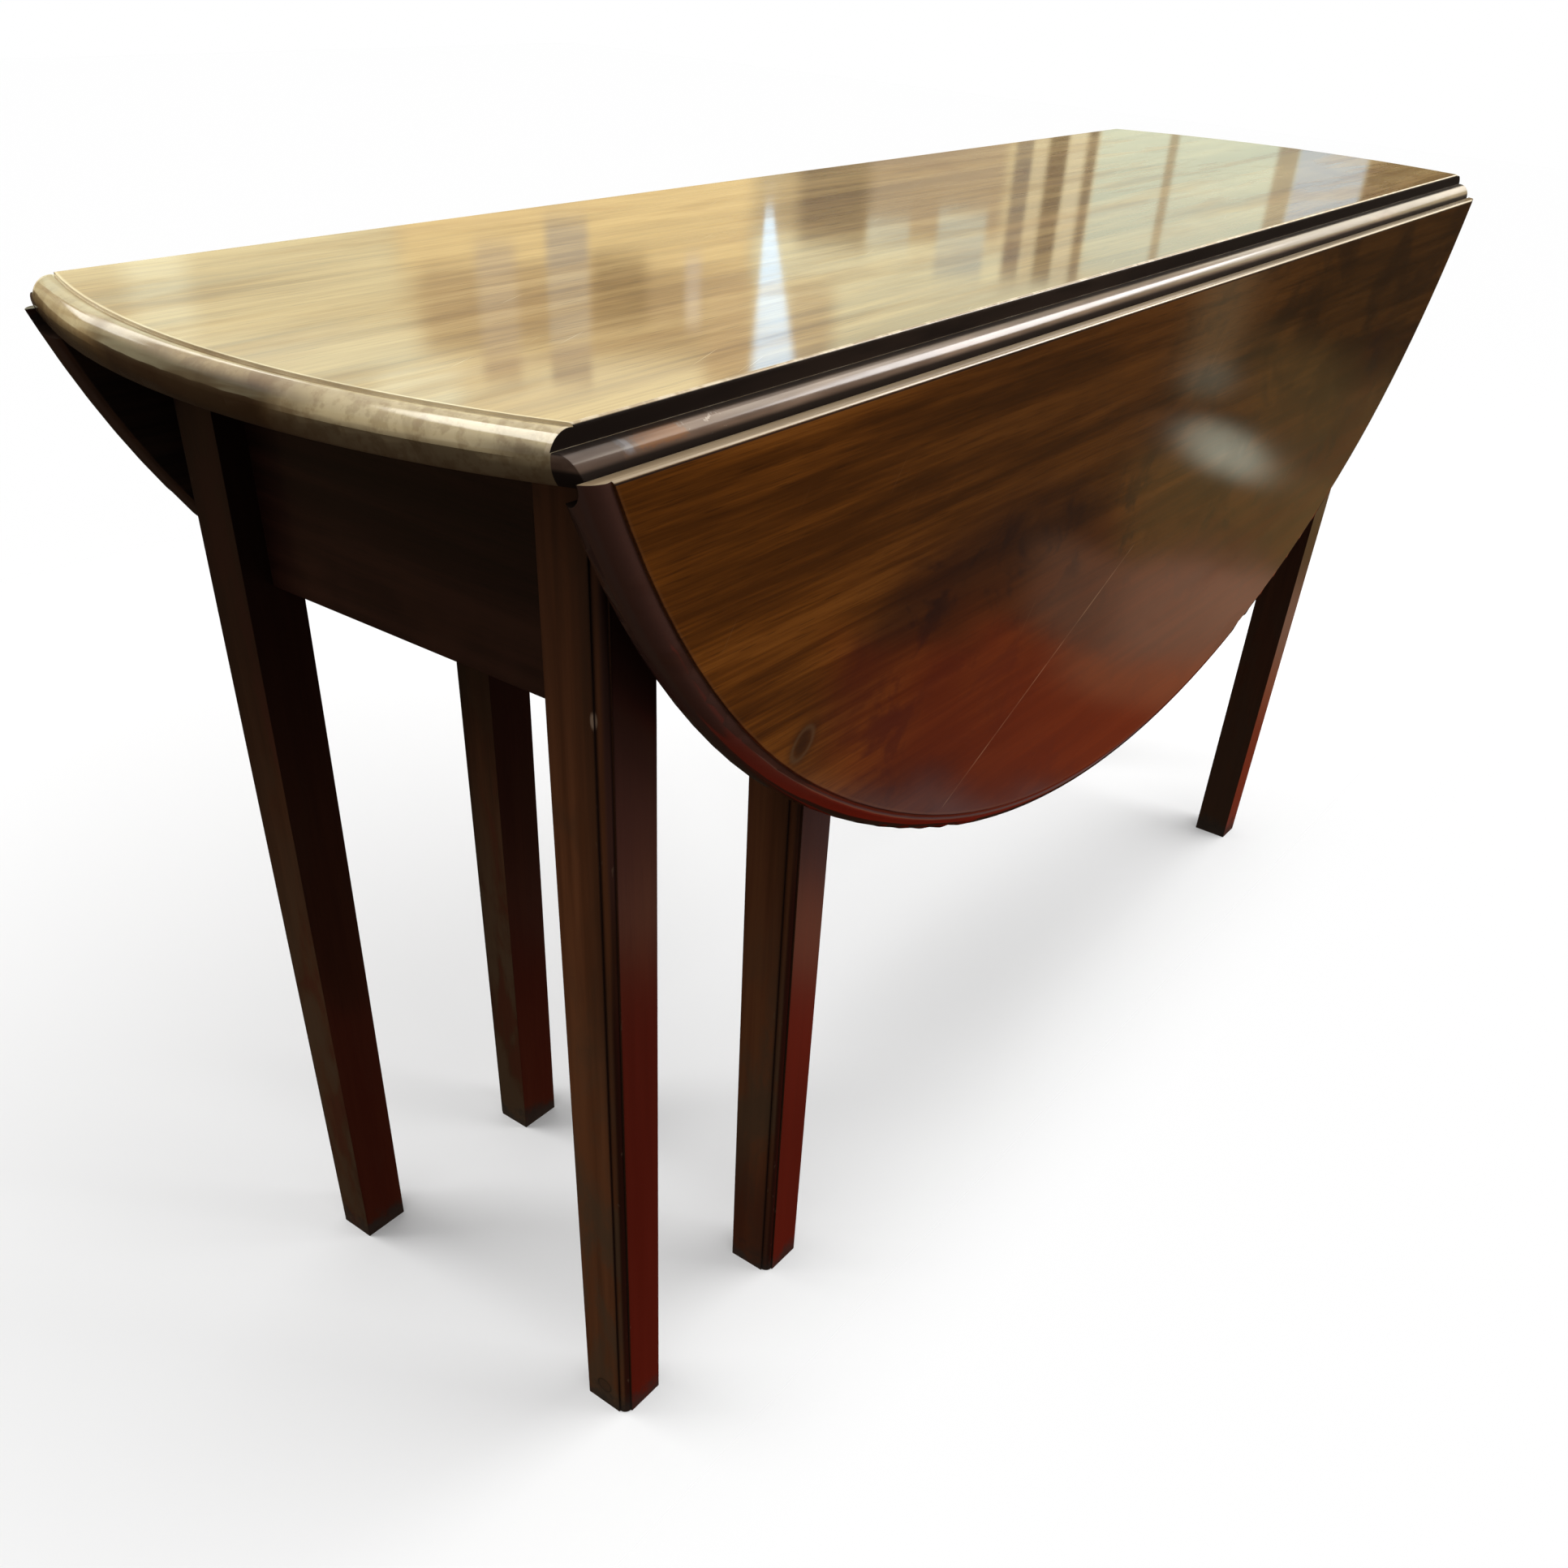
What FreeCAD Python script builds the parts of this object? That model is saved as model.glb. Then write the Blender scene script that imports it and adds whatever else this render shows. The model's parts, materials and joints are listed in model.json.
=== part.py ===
import FreeCAD, Part
import math
import os

# Drop-leaf hunt table: a narrow fixed top with bowed ends, two hanging oval leaves on rule joints,
# six square moulded legs, and on each long side one gate that swings on a wooden knuckle joint.
# Millimetres. X runs along the table with the near end at -X, the front leaf is on the -Y side,
# Z is up and the floor is at zero.

# Overall sizes
table_height = 735.0
top_length = 1370.0
open_width = 1122.0
fixed_top_width = 378.0
oval_turn_deg = 54.5

# Rule joint between the fixed top and each leaf
joint_step = 9.0
joint_radius = 11.0
joint_gap = 0.8
arris_round = 2.0
pin_offset = 1.75

# Thumb moulding round the oval edge
edge_width = 14.0
edge_step = 1.5
edge_drop = 11.0
edge_under = 3.5

# Frame and legs
end_overhang = 88.0
side_overhang = 22.5
leg_width = 41.0
foot_width = 38.0
leg_bead_radius = 5.6
leg_bead_quirk = 1.3

# End aprons
apron_depth = 146.0
apron_thickness = 20.0
apron_setback = 20.0
apron_tenon_thickness = 8.0
apron_tenon_length = 25.0
apron_tenon_cheek = 2.0

# Long rails
rail_depth = 130.0
inner_rail_thickness = 20.0
outer_rail_thickness = 24.0
inner_rail_stub = 8.0
outer_rail_tenon_thickness = 8.0
stub_thickness = 8.0
tenon_shoulder = 15.0
tenon_end_gap = 0.5
tenon_wall = 2.0
cross_rail_thickness = 20.0
cross_rail_depth = 100.0
cross_rail_place = 60.0

# Gates
gate_leg_place = 184.0
gate_setback = 4.0
gate_gap = 0.5
gate_pivot_place = 0.0
gate_tenon_length = 25.0
gate_pin_radius = 3.0
gate_pin_head_radius = 5.5
gate_pin_head_height = 2.5
knuckle_count = 5
knuckle_ease = 0.3
knuckle_gap = 0.4
running_fit = 0.05

# Rule joint hinges
hinge_width = 38.0
hinge_spacing = 470.0
hinge_knuckle_radius = 3.0
hinge_pin_radius = 1.5
flap_thickness = 1.8
top_flap_length = 36.0
leaf_flap_length = 60.0
hinge_ease = 0.4
hinge_end_ease = 0.15
flap_screw_inset = 8.0
top_flap_screw_spacing = 16.0
leaf_flap_screw_spacing = 26.0

# Screws
flap_screw_head_radius = 3.2
flap_screw_radius = 1.6
flap_screw_length = 13.0
frame_screw_head_radius = 4.5
frame_screw_radius = 2.2
rail_screw_length = 34.0
knuckle_rail_screw_count = 3
block_screw_length = 42.0
screw_ease = 0.05

# Blocks glued under the top along the inner rails
block_length = 90.0
block_section = 30.0
block_chamfer = 14.0
block_place = 330.0

# Places that follow from the sizes above
pin_depth = joint_step + math.sqrt(joint_radius ** 2 - pin_offset ** 2)
board_thickness = pin_depth + hinge_knuckle_radius
top_z = table_height
under_z = table_height - board_thickness
hinge_z = table_height - pin_depth
hinge_y = -fixed_top_width / 2 - pin_offset
flap_z = under_z + flap_thickness
knuckle_clear = hinge_knuckle_radius + hinge_ease
leg_outer_x = -top_length / 2 + end_overhang
leg_outer_y = -fixed_top_width / 2 + side_overhang
leg_inner_x = leg_outer_x + leg_width
leg_inner_y = leg_outer_y + leg_width
apron_x = leg_outer_x + apron_setback
apron_inner_x = apron_x + apron_thickness
apron_z = under_z - apron_depth
rail_z = under_z - rail_depth
gate_leg_x = leg_outer_x + gate_leg_place
gate_leg_y = leg_outer_y + gate_setback
gate_leg_far_x = gate_leg_x + leg_width
inner_rail_y = gate_leg_y + leg_width + gate_gap
outer_rail_y = inner_rail_y - outer_rail_thickness
pivot_y = inner_rail_y - outer_rail_thickness / 2
barrel_radius = outer_rail_thickness / 2 - knuckle_ease
knuckle_height = rail_depth / knuckle_count
outer_rail_tenon_depth = leg_width - apron_setback - apron_tenon_cheek - apron_tenon_thickness - tenon_wall
outer_rail_tenon_y = (max(outer_rail_y, leg_outer_y) + min(inner_rail_y, leg_inner_y)) / 2
hinge_places = [-hinge_spacing, 0.0, hinge_spacing]

Vector = FreeCAD.Vector
ORIGIN = Vector(0, 0, 0)
LONG = Vector(1, 0, 0)
ACROSS = Vector(0, 1, 0)
UP = Vector(0, 0, 1)
HALF_TURN = 180.0
QUARTER_TURN = 90.0


def block(x_pair, y_pair, z_pair):
    """A straight piece of wood between the given limits."""
    size = [pair[1] - pair[0] for pair in (x_pair, y_pair, z_pair)]
    return Part.makeBox(size[0], size[1], size[2], Vector(x_pair[0], y_pair[0], z_pair[0]))


def prism(points, direction):
    """A polygon pushed along a direction."""
    return Part.Face(Part.makePolygon(points + points[:1])).extrude(direction)


def rod(radius, start, direction, length):
    return Part.makeCylinder(radius, length, start, direction)


def mirrored(shape, normal):
    return shape.mirror(ORIGIN, normal)


def fused(shapes):
    """One clean solid out of pieces that touch or overlap."""
    return shapes[0].multiFuse(shapes[1:]).removeSplitter()


def arc(start, centre, end):
    """The shorter circular arc between two points about a centre."""
    middle = (start - centre) + (end - centre)
    middle.normalize()
    return Part.Arc(start, centre + middle * (start - centre).Length, end).toShape()


def line(start, end):
    return Part.LineSegment(start, end).toShape()


def edge_section(radius):
    """Half section of the board, from its axis out to the thumb moulding at the given radius."""
    fillet_x = radius - edge_width
    widest_z = top_z - edge_step - edge_drop
    nose_radius = (edge_width ** 2 + edge_drop ** 2) / (2 * edge_width)
    under_drop = widest_z - under_z
    under_radius = (edge_under ** 2 + under_drop ** 2) / (2 * edge_under)
    centre_top = Vector(0, 0, top_z)
    fillet_top = Vector(fillet_x, 0, top_z)
    fillet_foot = Vector(fillet_x, 0, top_z - edge_step)
    widest = Vector(radius, 0, widest_z)
    under_edge = Vector(radius - edge_under, 0, under_z)
    centre_under = Vector(0, 0, under_z)
    outline = [
        line(centre_top, fillet_top),
        line(fillet_top, fillet_foot),
        arc(fillet_foot, Vector(radius - nose_radius, 0, widest_z), widest),
        arc(widest, Vector(radius - under_radius, 0, widest_z), under_edge),
        line(under_edge, centre_under),
        line(centre_under, centre_top),
    ]
    return Part.Face(Part.Wire(outline))


def moulded_wedge(centre, radius, start_deg, sweep_deg):
    """A sector of moulded board turned about an upright axis."""
    wedge = edge_section(radius).revolve(ORIGIN, UP, sweep_deg)
    wedge.rotate(ORIGIN, UP, start_deg)
    wedge.translate(centre)
    return wedge


def oval_arcs():
    """Radii and centre distances of the two tangent arcs that make the oval outline."""
    turn = math.radians(oval_turn_deg)
    half_length = top_length / 2
    half_width = open_width / 2
    spread = (half_length - half_width) / (math.sin(turn) + math.cos(turn) - 1)
    end_radius = half_length - spread * math.cos(turn)
    side_radius = half_width + spread * math.sin(turn)
    return end_radius, half_length - end_radius, side_radius, side_radius - half_width


def fixed_top_section():
    """Section of the fixed top across the table, with a quarter round and step on both edges."""

    def joint_edges(side):
        """The edges of one joint, from the rounded arris down to the underside, and their two ends."""
        arris_y = side * fixed_top_width / 2
        pin = Vector(0, -side * hinge_y, hinge_z)
        round_centre = Vector(0, arris_y - side * arris_round, top_z - arris_round)
        top_end = round_centre + UP * arris_round
        arris = Vector(0, arris_y, top_z - arris_round)
        step_foot = Vector(0, arris_y, top_z - joint_step)
        round_end = pin + ACROSS * side * joint_radius
        under_end = Vector(0, round_end.y, under_z)
        edges = [
            arc(top_end, round_centre, arris),
            line(arris, step_foot),
            arc(step_foot, pin, round_end),
            line(round_end, under_end),
        ]
        return edges, top_end, under_end

    front, front_top, front_under = joint_edges(-1)
    rear, rear_top, rear_under = joint_edges(1)
    outline = front + rear + [line(front_top, rear_top), line(front_under, rear_under)]
    return Part.Face(Part.Wire(Part.__sortEdges__(outline)))


def leaf_section():
    """Section of the raised front leaf, with the cove that closes over the quarter round."""
    pin = Vector(0, hinge_y, hinge_z)
    cove_radius = joint_radius + joint_gap
    lip_y = -fixed_top_width / 2 - joint_gap
    lip_z = hinge_z + math.sqrt(cove_radius ** 2 - (lip_y - hinge_y) ** 2)
    outer_y = -open_width
    round_centre = Vector(0, lip_y - arris_round, top_z - arris_round)
    top_end = round_centre + UP * arris_round
    lip_arris = round_centre + ACROSS * arris_round
    lip_foot = Vector(0, lip_y, lip_z)
    cove_end = pin - ACROSS * cove_radius
    cove_foot = Vector(0, cove_end.y, under_z)
    outline = [
        arc(top_end, round_centre, lip_arris),
        line(lip_arris, lip_foot),
        arc(lip_foot, pin, cove_end),
        line(cove_end, cove_foot),
        line(cove_foot, Vector(0, outer_y, under_z)),
        line(Vector(0, outer_y, under_z), Vector(0, outer_y, top_z)),
        line(Vector(0, outer_y, top_z), top_end),
    ]
    return Part.Face(Part.Wire(outline))


def screw(head_radius, shank_radius, length, ease, start, direction):
    """A countersunk wood screw, or with some ease the hole that takes it."""
    head = head_radius + ease
    shank = shank_radius + ease
    points = [
        ORIGIN,
        Vector(head, 0, 0),
        Vector(shank, 0, head - shank),
        Vector(shank, 0, length - shank),
        Vector(0, 0, length + ease),
    ]
    solid = Part.Face(Part.makePolygon(points + points[:1])).revolve(ORIGIN, UP, 2 * HALF_TURN)
    solid.Placement = FreeCAD.Placement(start, FreeCAD.Rotation(UP, direction))
    return solid


def flap_screws(distances, ease):
    """Screws up through the flaps of one row of hinges, at distances out from the pin."""
    starts = [Vector(x, hinge_y - out, under_z) for x in hinge_places for out in distances]
    sizes = (flap_screw_head_radius, flap_screw_radius, flap_screw_length, ease)
    return [screw(*sizes, start, UP) for start in starts]


top_screw_places = [-top_flap_length + flap_screw_inset + top_flap_screw_spacing * n for n in range(2)]
leaf_screw_places = [leaf_flap_length - flap_screw_inset - leaf_flap_screw_spacing * n for n in range(2)]


def hinge_band(x, half_width, out_pair, z_pair):
    """A straight bed or plate along the hinge, between two distances out from the pin."""
    return block((x - half_width, x + half_width), (hinge_y - out_pair[1], hinge_y - out_pair[0]), z_pair)


def hinge_barrel(x, half_width, radius):
    start = Vector(x - half_width, hinge_y, hinge_z)
    return rod(radius, start, LONG, 2 * half_width)


def knuckle_gap_block(x, half_width):
    """Space round a knuckle that the other flap's plate keeps out of."""
    return hinge_band(x, half_width, (-knuckle_clear, knuckle_clear), (under_z, hinge_z + knuckle_clear))


def top_flap(x):
    """Flap screwed under the fixed top, with the two outer knuckles."""
    half = hinge_width / 2
    inner_half = hinge_width / 6
    plate = hinge_band(x, half, (-top_flap_length, 0), (under_z, flap_z))
    flap = plate.fuse(hinge_barrel(x, half, hinge_knuckle_radius))
    flap = flap.cut(knuckle_gap_block(x, inner_half + hinge_end_ease))
    return flap.cut(hinge_barrel(x, half, hinge_pin_radius + running_fit))


def leaf_flap(x):
    """Longer flap screwed under the raised leaf, with the middle knuckle."""
    half = hinge_width / 2
    inner_half = hinge_width / 6
    end_half = (half - inner_half) / 2
    plate = hinge_band(x, half, (0, leaf_flap_length), (under_z, flap_z))
    flap = plate.fuse(hinge_barrel(x, inner_half - hinge_end_ease, hinge_knuckle_radius))
    for end_x in (x - inner_half - end_half, x + inner_half + end_half):
        flap = flap.cut(knuckle_gap_block(end_x, end_half + hinge_end_ease))
    return flap.cut(hinge_barrel(x, half, hinge_pin_radius + running_fit))


def make_top_board():
    end_radius, end_centre, _, _ = oval_arcs()
    near_disc = moulded_wedge(Vector(-end_centre, 0, 0), end_radius, 0, 2 * HALF_TURN)
    strip = fixed_top_section().extrude(LONG * -top_length)
    half = strip.common(near_disc)
    board = fused([half, mirrored(half, LONG)])
    beds = []
    half_width = hinge_width / 2 + hinge_ease
    for x in hinge_places:
        front_beds = [
            hinge_band(x, half_width, (-top_flap_length, 0), (under_z, flap_z)),
            hinge_band(x, half_width, (0, joint_radius + joint_gap), (under_z, flap_z + hinge_ease)),
            hinge_barrel(x, half_width, knuckle_clear),
        ]
        beds += front_beds
    beds += flap_screws(top_screw_places, screw_ease)
    beds += [mirrored(bed, ACROSS) for bed in beds]
    beds += block_screws(screw_ease)
    return board.cut(Part.makeCompound(beds))


def make_front_leaf():
    end_radius, end_centre, side_radius, side_centre = oval_arcs()
    side_sweep = HALF_TURN - 2 * oval_turn_deg
    wedges = [
        moulded_wedge(Vector(-end_centre, 0, 0), end_radius, HALF_TURN, oval_turn_deg),
        moulded_wedge(Vector(0, side_centre, 0), side_radius, HALF_TURN + oval_turn_deg, side_sweep),
        moulded_wedge(Vector(end_centre, 0, 0), end_radius, -oval_turn_deg, oval_turn_deg),
    ]
    section = leaf_section()
    section.translate(LONG * -top_length)
    leaf = fused(wedges).common(section.extrude(LONG * 2 * top_length))
    half_width = hinge_width / 2 + hinge_ease
    beds = [hinge_band(x, half_width, (0, leaf_flap_length), (under_z, flap_z)) for x in hinge_places]
    beds += flap_screws(leaf_screw_places, screw_ease)
    return hang(leaf.cut(Part.makeCompound(beds)))


def hang(shape):
    """Turns what belongs to the raised front leaf down about the hinge pins."""
    shape.rotate(Vector(0, hinge_y, hinge_z), LONG, QUARTER_TURN)
    return shape


def leg_blank(corner_x, corner_y, height):
    """Square leg with a quirked bead on its outer corner and a taper on its two inner faces."""
    bead = leg_bead_radius
    notch = bead + leg_bead_quirk
    taper = leg_width - foot_width
    post = block((0, leg_width), (0, leg_width), (0, height))
    post = post.cut(block((0, notch), (0, notch), (0, height)))
    quarter = Part.makeCylinder(bead, height, Vector(notch, notch, 0), UP, QUARTER_TURN)
    quarter.rotate(Vector(notch, notch, 0), UP, HALF_TURN)
    post = post.fuse(quarter).removeSplitter()
    inside = [
        Vector(foot_width, 0, 0),
        Vector(leg_width, 0, apron_z),
        Vector(leg_width + taper, 0, 0),
    ]
    post = post.cut(prism(inside, ACROSS * leg_width))
    across = [Vector(0, point.x, point.z) for point in inside]
    post = post.cut(prism(across, LONG * leg_width))
    post.translate(Vector(corner_x, corner_y, 0))
    return post


def apron_tenon(end_gap):
    """Tenon of the near apron in the near front leg, or its mortise with some end gap."""
    tenon_x = apron_x + apron_tenon_cheek
    return block(
        (tenon_x, tenon_x + apron_tenon_thickness),
        (leg_inner_y - apron_tenon_length - end_gap, leg_inner_y),
        (apron_z + tenon_shoulder, under_z - tenon_shoulder),
    )


def outer_rail_tenon(end_gap):
    """Stub tenon of an outer rail in the near front leg, or its mortise with some end gap."""
    half = outer_rail_tenon_thickness / 2
    return block(
        (leg_inner_x - outer_rail_tenon_depth - end_gap, leg_inner_x),
        (outer_rail_tenon_y - half, outer_rail_tenon_y + half),
        (rail_z + tenon_shoulder, under_z - tenon_shoulder),
    )


def gate_tenon(end_gap):
    """Tenon of the fly rail in the gate leg, or its mortise with some end gap."""
    half = outer_rail_tenon_thickness / 2
    return block(
        (gate_leg_far_x - gate_tenon_length - end_gap, gate_leg_far_x),
        (pivot_y - half, pivot_y + half),
        (rail_z + tenon_shoulder, under_z - tenon_shoulder),
    )


def inner_rail_stub_block(end_gap):
    """Stub tenon of the front inner rail in the near apron, or its mortise with some end gap."""
    middle_y = inner_rail_y + inner_rail_thickness / 2
    return block(
        (apron_inner_x - inner_rail_stub - end_gap, apron_inner_x),
        (middle_y - stub_thickness / 2, middle_y + stub_thickness / 2),
        (rail_z + tenon_shoulder, under_z - tenon_shoulder),
    )


def cross_rail_stub(end_gap):
    """Stub tenon of the cross rail in the front inner rail, or its mortise with some end gap."""
    inner_face = inner_rail_y + inner_rail_thickness
    return block(
        (cross_rail_place - stub_thickness / 2, cross_rail_place + stub_thickness / 2),
        (inner_face - inner_rail_stub - end_gap, inner_face),
        (under_z - cross_rail_depth + tenon_shoulder, under_z - tenon_shoulder),
    )


def make_near_front_leg():
    leg = leg_blank(leg_outer_x, leg_outer_y, under_z)
    return leg.cut(apron_tenon(tenon_end_gap)).cut(outer_rail_tenon(tenon_end_gap))


def make_front_gate_leg():
    leg = leg_blank(gate_leg_x, gate_leg_y, under_z - gate_gap)
    return leg.cut(gate_tenon(tenon_end_gap))


def make_near_end_apron():
    board = block((apron_x, apron_inner_x), (leg_inner_y, -leg_inner_y), (apron_z, under_z))
    tenon = apron_tenon(0)
    stub = inner_rail_stub_block(tenon_end_gap)
    board = fused([board, tenon, mirrored(tenon, ACROSS)])
    return board.cut(stub).cut(mirrored(stub, ACROSS))


def make_front_inner_rail():
    inner_face = inner_rail_y + inner_rail_thickness
    rail = block((apron_inner_x, -apron_inner_x), (inner_rail_y, inner_face), (rail_z, under_z))
    stub = inner_rail_stub_block(0)
    rail = fused([rail, stub, mirrored(stub, LONG)]).cut(cross_rail_stub(tenon_end_gap))
    return rail.cut(Part.makeCompound(rail_screws(screw_ease)))


def make_cross_rail():
    inner_face = inner_rail_y + inner_rail_thickness
    half = cross_rail_thickness / 2
    rail = block(
        (cross_rail_place - half, cross_rail_place + half),
        (inner_face, -inner_face),
        (under_z - cross_rail_depth, under_z),
    )
    stub = cross_rail_stub(0)
    return fused([rail, stub, mirrored(stub, ACROSS)])


def make_front_short_rail():
    """Fixed outer rail from the near leg to the stop beside the closed gate leg."""
    end_x = gate_leg_x - gate_gap
    rail = block((leg_inner_x, end_x), (outer_rail_y, inner_rail_y), (rail_z, under_z))
    rail = fused([rail, outer_rail_tenon(0)])
    return rail.cut(Part.makeCompound(rail_screws(screw_ease)))


def knuckle_rail_body(end_x, inner_y, height):
    """Rail with both corners of its pivot end bevelled towards the pivot."""
    bevel = outer_rail_thickness / 2
    away = math.copysign(1, end_x - gate_pivot_place)
    inner_bevel = inner_y - pivot_y
    plan = [
        Vector(gate_pivot_place, pivot_y, rail_z),
        Vector(gate_pivot_place + away * bevel, outer_rail_y, rail_z),
        Vector(end_x, outer_rail_y, rail_z),
        Vector(end_x, inner_y, rail_z),
        Vector(gate_pivot_place + away * inner_bevel, inner_y, rail_z),
    ]
    return prism(plan, UP * height)


def with_knuckles(rail, own_first, own_ease):
    """Adds every second barrel of the wooden hinge, and hollows for the other rail's barrels."""
    for n in range(knuckle_count):
        own = n % 2 == own_first
        ease = -own_ease if own else own_ease
        start = Vector(gate_pivot_place, pivot_y, rail_z + n * knuckle_height - ease)
        height = knuckle_height + 2 * ease
        if own:
            rail = rail.fuse(rod(barrel_radius, start, UP, height))
        else:
            rail = rail.cut(rod(barrel_radius + knuckle_gap, start, UP, height))
    pin_start = Vector(gate_pivot_place, pivot_y, rail_z)
    return rail.cut(rod(gate_pin_radius + running_fit, pin_start, UP, rail_depth)).removeSplitter()


def make_front_knuckle_rail():
    """Fixed outer rail from the far leg to the pivot, with the odd knuckles."""
    rail = knuckle_rail_body(-leg_inner_x, inner_rail_y, rail_depth)
    rail = rail.fuse(mirrored(outer_rail_tenon(0), LONG))
    rail = with_knuckles(rail, 0, 0)
    return rail.cut(Part.makeCompound(rail_screws(screw_ease)))


def make_front_fly_rail():
    """Swinging outer rail from the pivot to the gate leg, with the even knuckles."""
    rail = knuckle_rail_body(gate_leg_far_x, inner_rail_y - gate_gap, rail_depth - gate_gap)
    rail = rail.fuse(gate_tenon(0))
    return with_knuckles(rail, 1, knuckle_gap / 2)


def make_front_gate_pin():
    """Headed iron pin up through all the knuckles."""
    start = Vector(gate_pivot_place, pivot_y, rail_z)
    shaft = rod(gate_pin_radius, start, UP, rail_depth - gate_gap)
    head = rod(gate_pin_head_radius, start - UP * gate_pin_head_height, UP, gate_pin_head_height)
    return shaft.fuse(head).removeSplitter()


def rail_screws(ease):
    """Screws from inside through the front inner rail into the fixed outer rails."""
    short_middle = (leg_inner_x + gate_leg_x) / 2
    knuckle_length = -leg_inner_x - gate_pivot_place
    step = knuckle_length / (knuckle_rail_screw_count + 1)
    places = [short_middle]
    places += [gate_pivot_place + step * (n + 1) for n in range(knuckle_rail_screw_count)]
    inner_face = inner_rail_y + inner_rail_thickness
    height = rail_z + rail_depth / 2
    sizes = (frame_screw_head_radius, frame_screw_radius, rail_screw_length, ease)
    return [screw(*sizes, Vector(x, inner_face, height), -ACROSS) for x in places]


def make_top_blocks():
    """Chamfered blocks glued into the corner between the inner rails and the top."""
    inner_face = inner_rail_y + inner_rail_thickness
    section = [
        Vector(-block_length / 2, inner_face, under_z),
        Vector(-block_length / 2, inner_face, under_z - block_section),
        Vector(-block_length / 2, inner_face + block_section - block_chamfer, under_z - block_section),
        Vector(-block_length / 2, inner_face + block_section, under_z - block_section + block_chamfer),
        Vector(-block_length / 2, inner_face + block_section, under_z),
    ]
    blocks = []
    for x in (-block_place, block_place):
        piece = prism(section, LONG * block_length)
        piece.translate(LONG * x)
        blocks += [piece, mirrored(piece, ACROSS)]
    holes = Part.makeCompound(block_screws(screw_ease))
    return Part.makeCompound([piece.cut(holes).Solids[0] for piece in blocks])


def block_screws(ease):
    """Screws up through the blocks into the top."""
    sizes = (frame_screw_head_radius, frame_screw_radius, block_screw_length, ease)
    inner_face = inner_rail_y + inner_rail_thickness
    side = inner_face + (block_section - block_chamfer) / 2
    places = [(x, y) for x in (-block_place, block_place) for y in (side, -side)]
    return [screw(*sizes, Vector(x, y, under_z - block_section), UP) for x, y in places]


def write(name, shape):
    shape.exportStep(os.path.join("parts", name + ".step"))


def write_both_sides(name, shape):
    """A front piece and its mirror image at the rear."""
    write("front_" + name, shape)
    write("rear_" + name, mirrored(shape, ACROSS))


def drilled(flaps, holes):
    """Flaps with countersunk screw holes."""
    return Part.makeCompound([flap.cut(holes).Solids[0] for flap in flaps])


os.makedirs("parts", exist_ok=True)

write("top_board", make_top_board())
write_both_sides("leaf", make_front_leaf())

front_leg = make_near_front_leg()
rear_leg = mirrored(front_leg, ACROSS)
for name, leg in (("front_leg", front_leg), ("rear_leg", rear_leg)):
    write("near_" + name, leg)
    write("far_" + name, mirrored(leg, LONG))

apron = make_near_end_apron()
write("near_end_apron", apron)
write("far_end_apron", mirrored(apron, LONG))

write_both_sides("inner_rail", make_front_inner_rail())
write("middle_cross_rail", make_cross_rail())
write_both_sides("short_rail", make_front_short_rail())
write_both_sides("knuckle_rail", make_front_knuckle_rail())
write_both_sides("fly_rail", make_front_fly_rail())
write_both_sides("gate_leg", make_front_gate_leg())
write_both_sides("gate_pin", make_front_gate_pin())
write_both_sides("rail_screws", Part.makeCompound(rail_screws(0)))
write("top_blocks", make_top_blocks())
write("top_block_screws", Part.makeCompound(block_screws(0)))

top_holes = Part.makeCompound(flap_screws(top_screw_places, screw_ease))
leaf_holes = Part.makeCompound(flap_screws(leaf_screw_places, screw_ease))
hinge_pins = [hinge_barrel(x, hinge_width / 2, hinge_pin_radius) for x in hinge_places]
write_both_sides("hinge_top_flaps", drilled([top_flap(x) for x in hinge_places], top_holes))
write_both_sides("hinge_leaf_flaps", hang(drilled([leaf_flap(x) for x in hinge_places], leaf_holes)))
write_both_sides("hinge_pins", Part.makeCompound(hinge_pins))
write_both_sides("top_flap_screws", Part.makeCompound(flap_screws(top_screw_places, 0)))
write_both_sides("leaf_flap_screws", hang(Part.makeCompound(flap_screws(leaf_screw_places, 0))))
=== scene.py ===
import json
import math

import bpy
from mathutils import Matrix, Vector


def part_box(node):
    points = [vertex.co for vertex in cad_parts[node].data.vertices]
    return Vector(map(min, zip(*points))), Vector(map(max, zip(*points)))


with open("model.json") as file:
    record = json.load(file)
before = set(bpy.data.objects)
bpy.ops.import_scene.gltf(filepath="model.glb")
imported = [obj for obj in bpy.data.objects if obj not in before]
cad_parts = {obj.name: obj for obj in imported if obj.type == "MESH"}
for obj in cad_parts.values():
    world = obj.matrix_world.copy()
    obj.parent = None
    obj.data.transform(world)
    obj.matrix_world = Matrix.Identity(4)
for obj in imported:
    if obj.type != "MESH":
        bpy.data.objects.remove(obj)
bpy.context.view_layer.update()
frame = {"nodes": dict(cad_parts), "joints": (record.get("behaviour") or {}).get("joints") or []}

# An old mahogany drop-leaf hunt table with its leaves hanging. Metres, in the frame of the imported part:
# +X to the far end, -Y to the front leaf, +Z up, the floor at zero.
MM = 0.001

# Driving sizes of the oval and the mouldings, as the boards are cut
OPEN_HALF_WIDTH = 0.561
OVAL_TURN = math.radians(54.5)
EDGE_WIDTH = 14.0 * MM
ARRIS_Y = 0.189
ARRIS_ROUND = 2.0 * MM
JOINT_STEP = 9.0 * MM
LEG_NOTCH = 6.9 * MM

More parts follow.
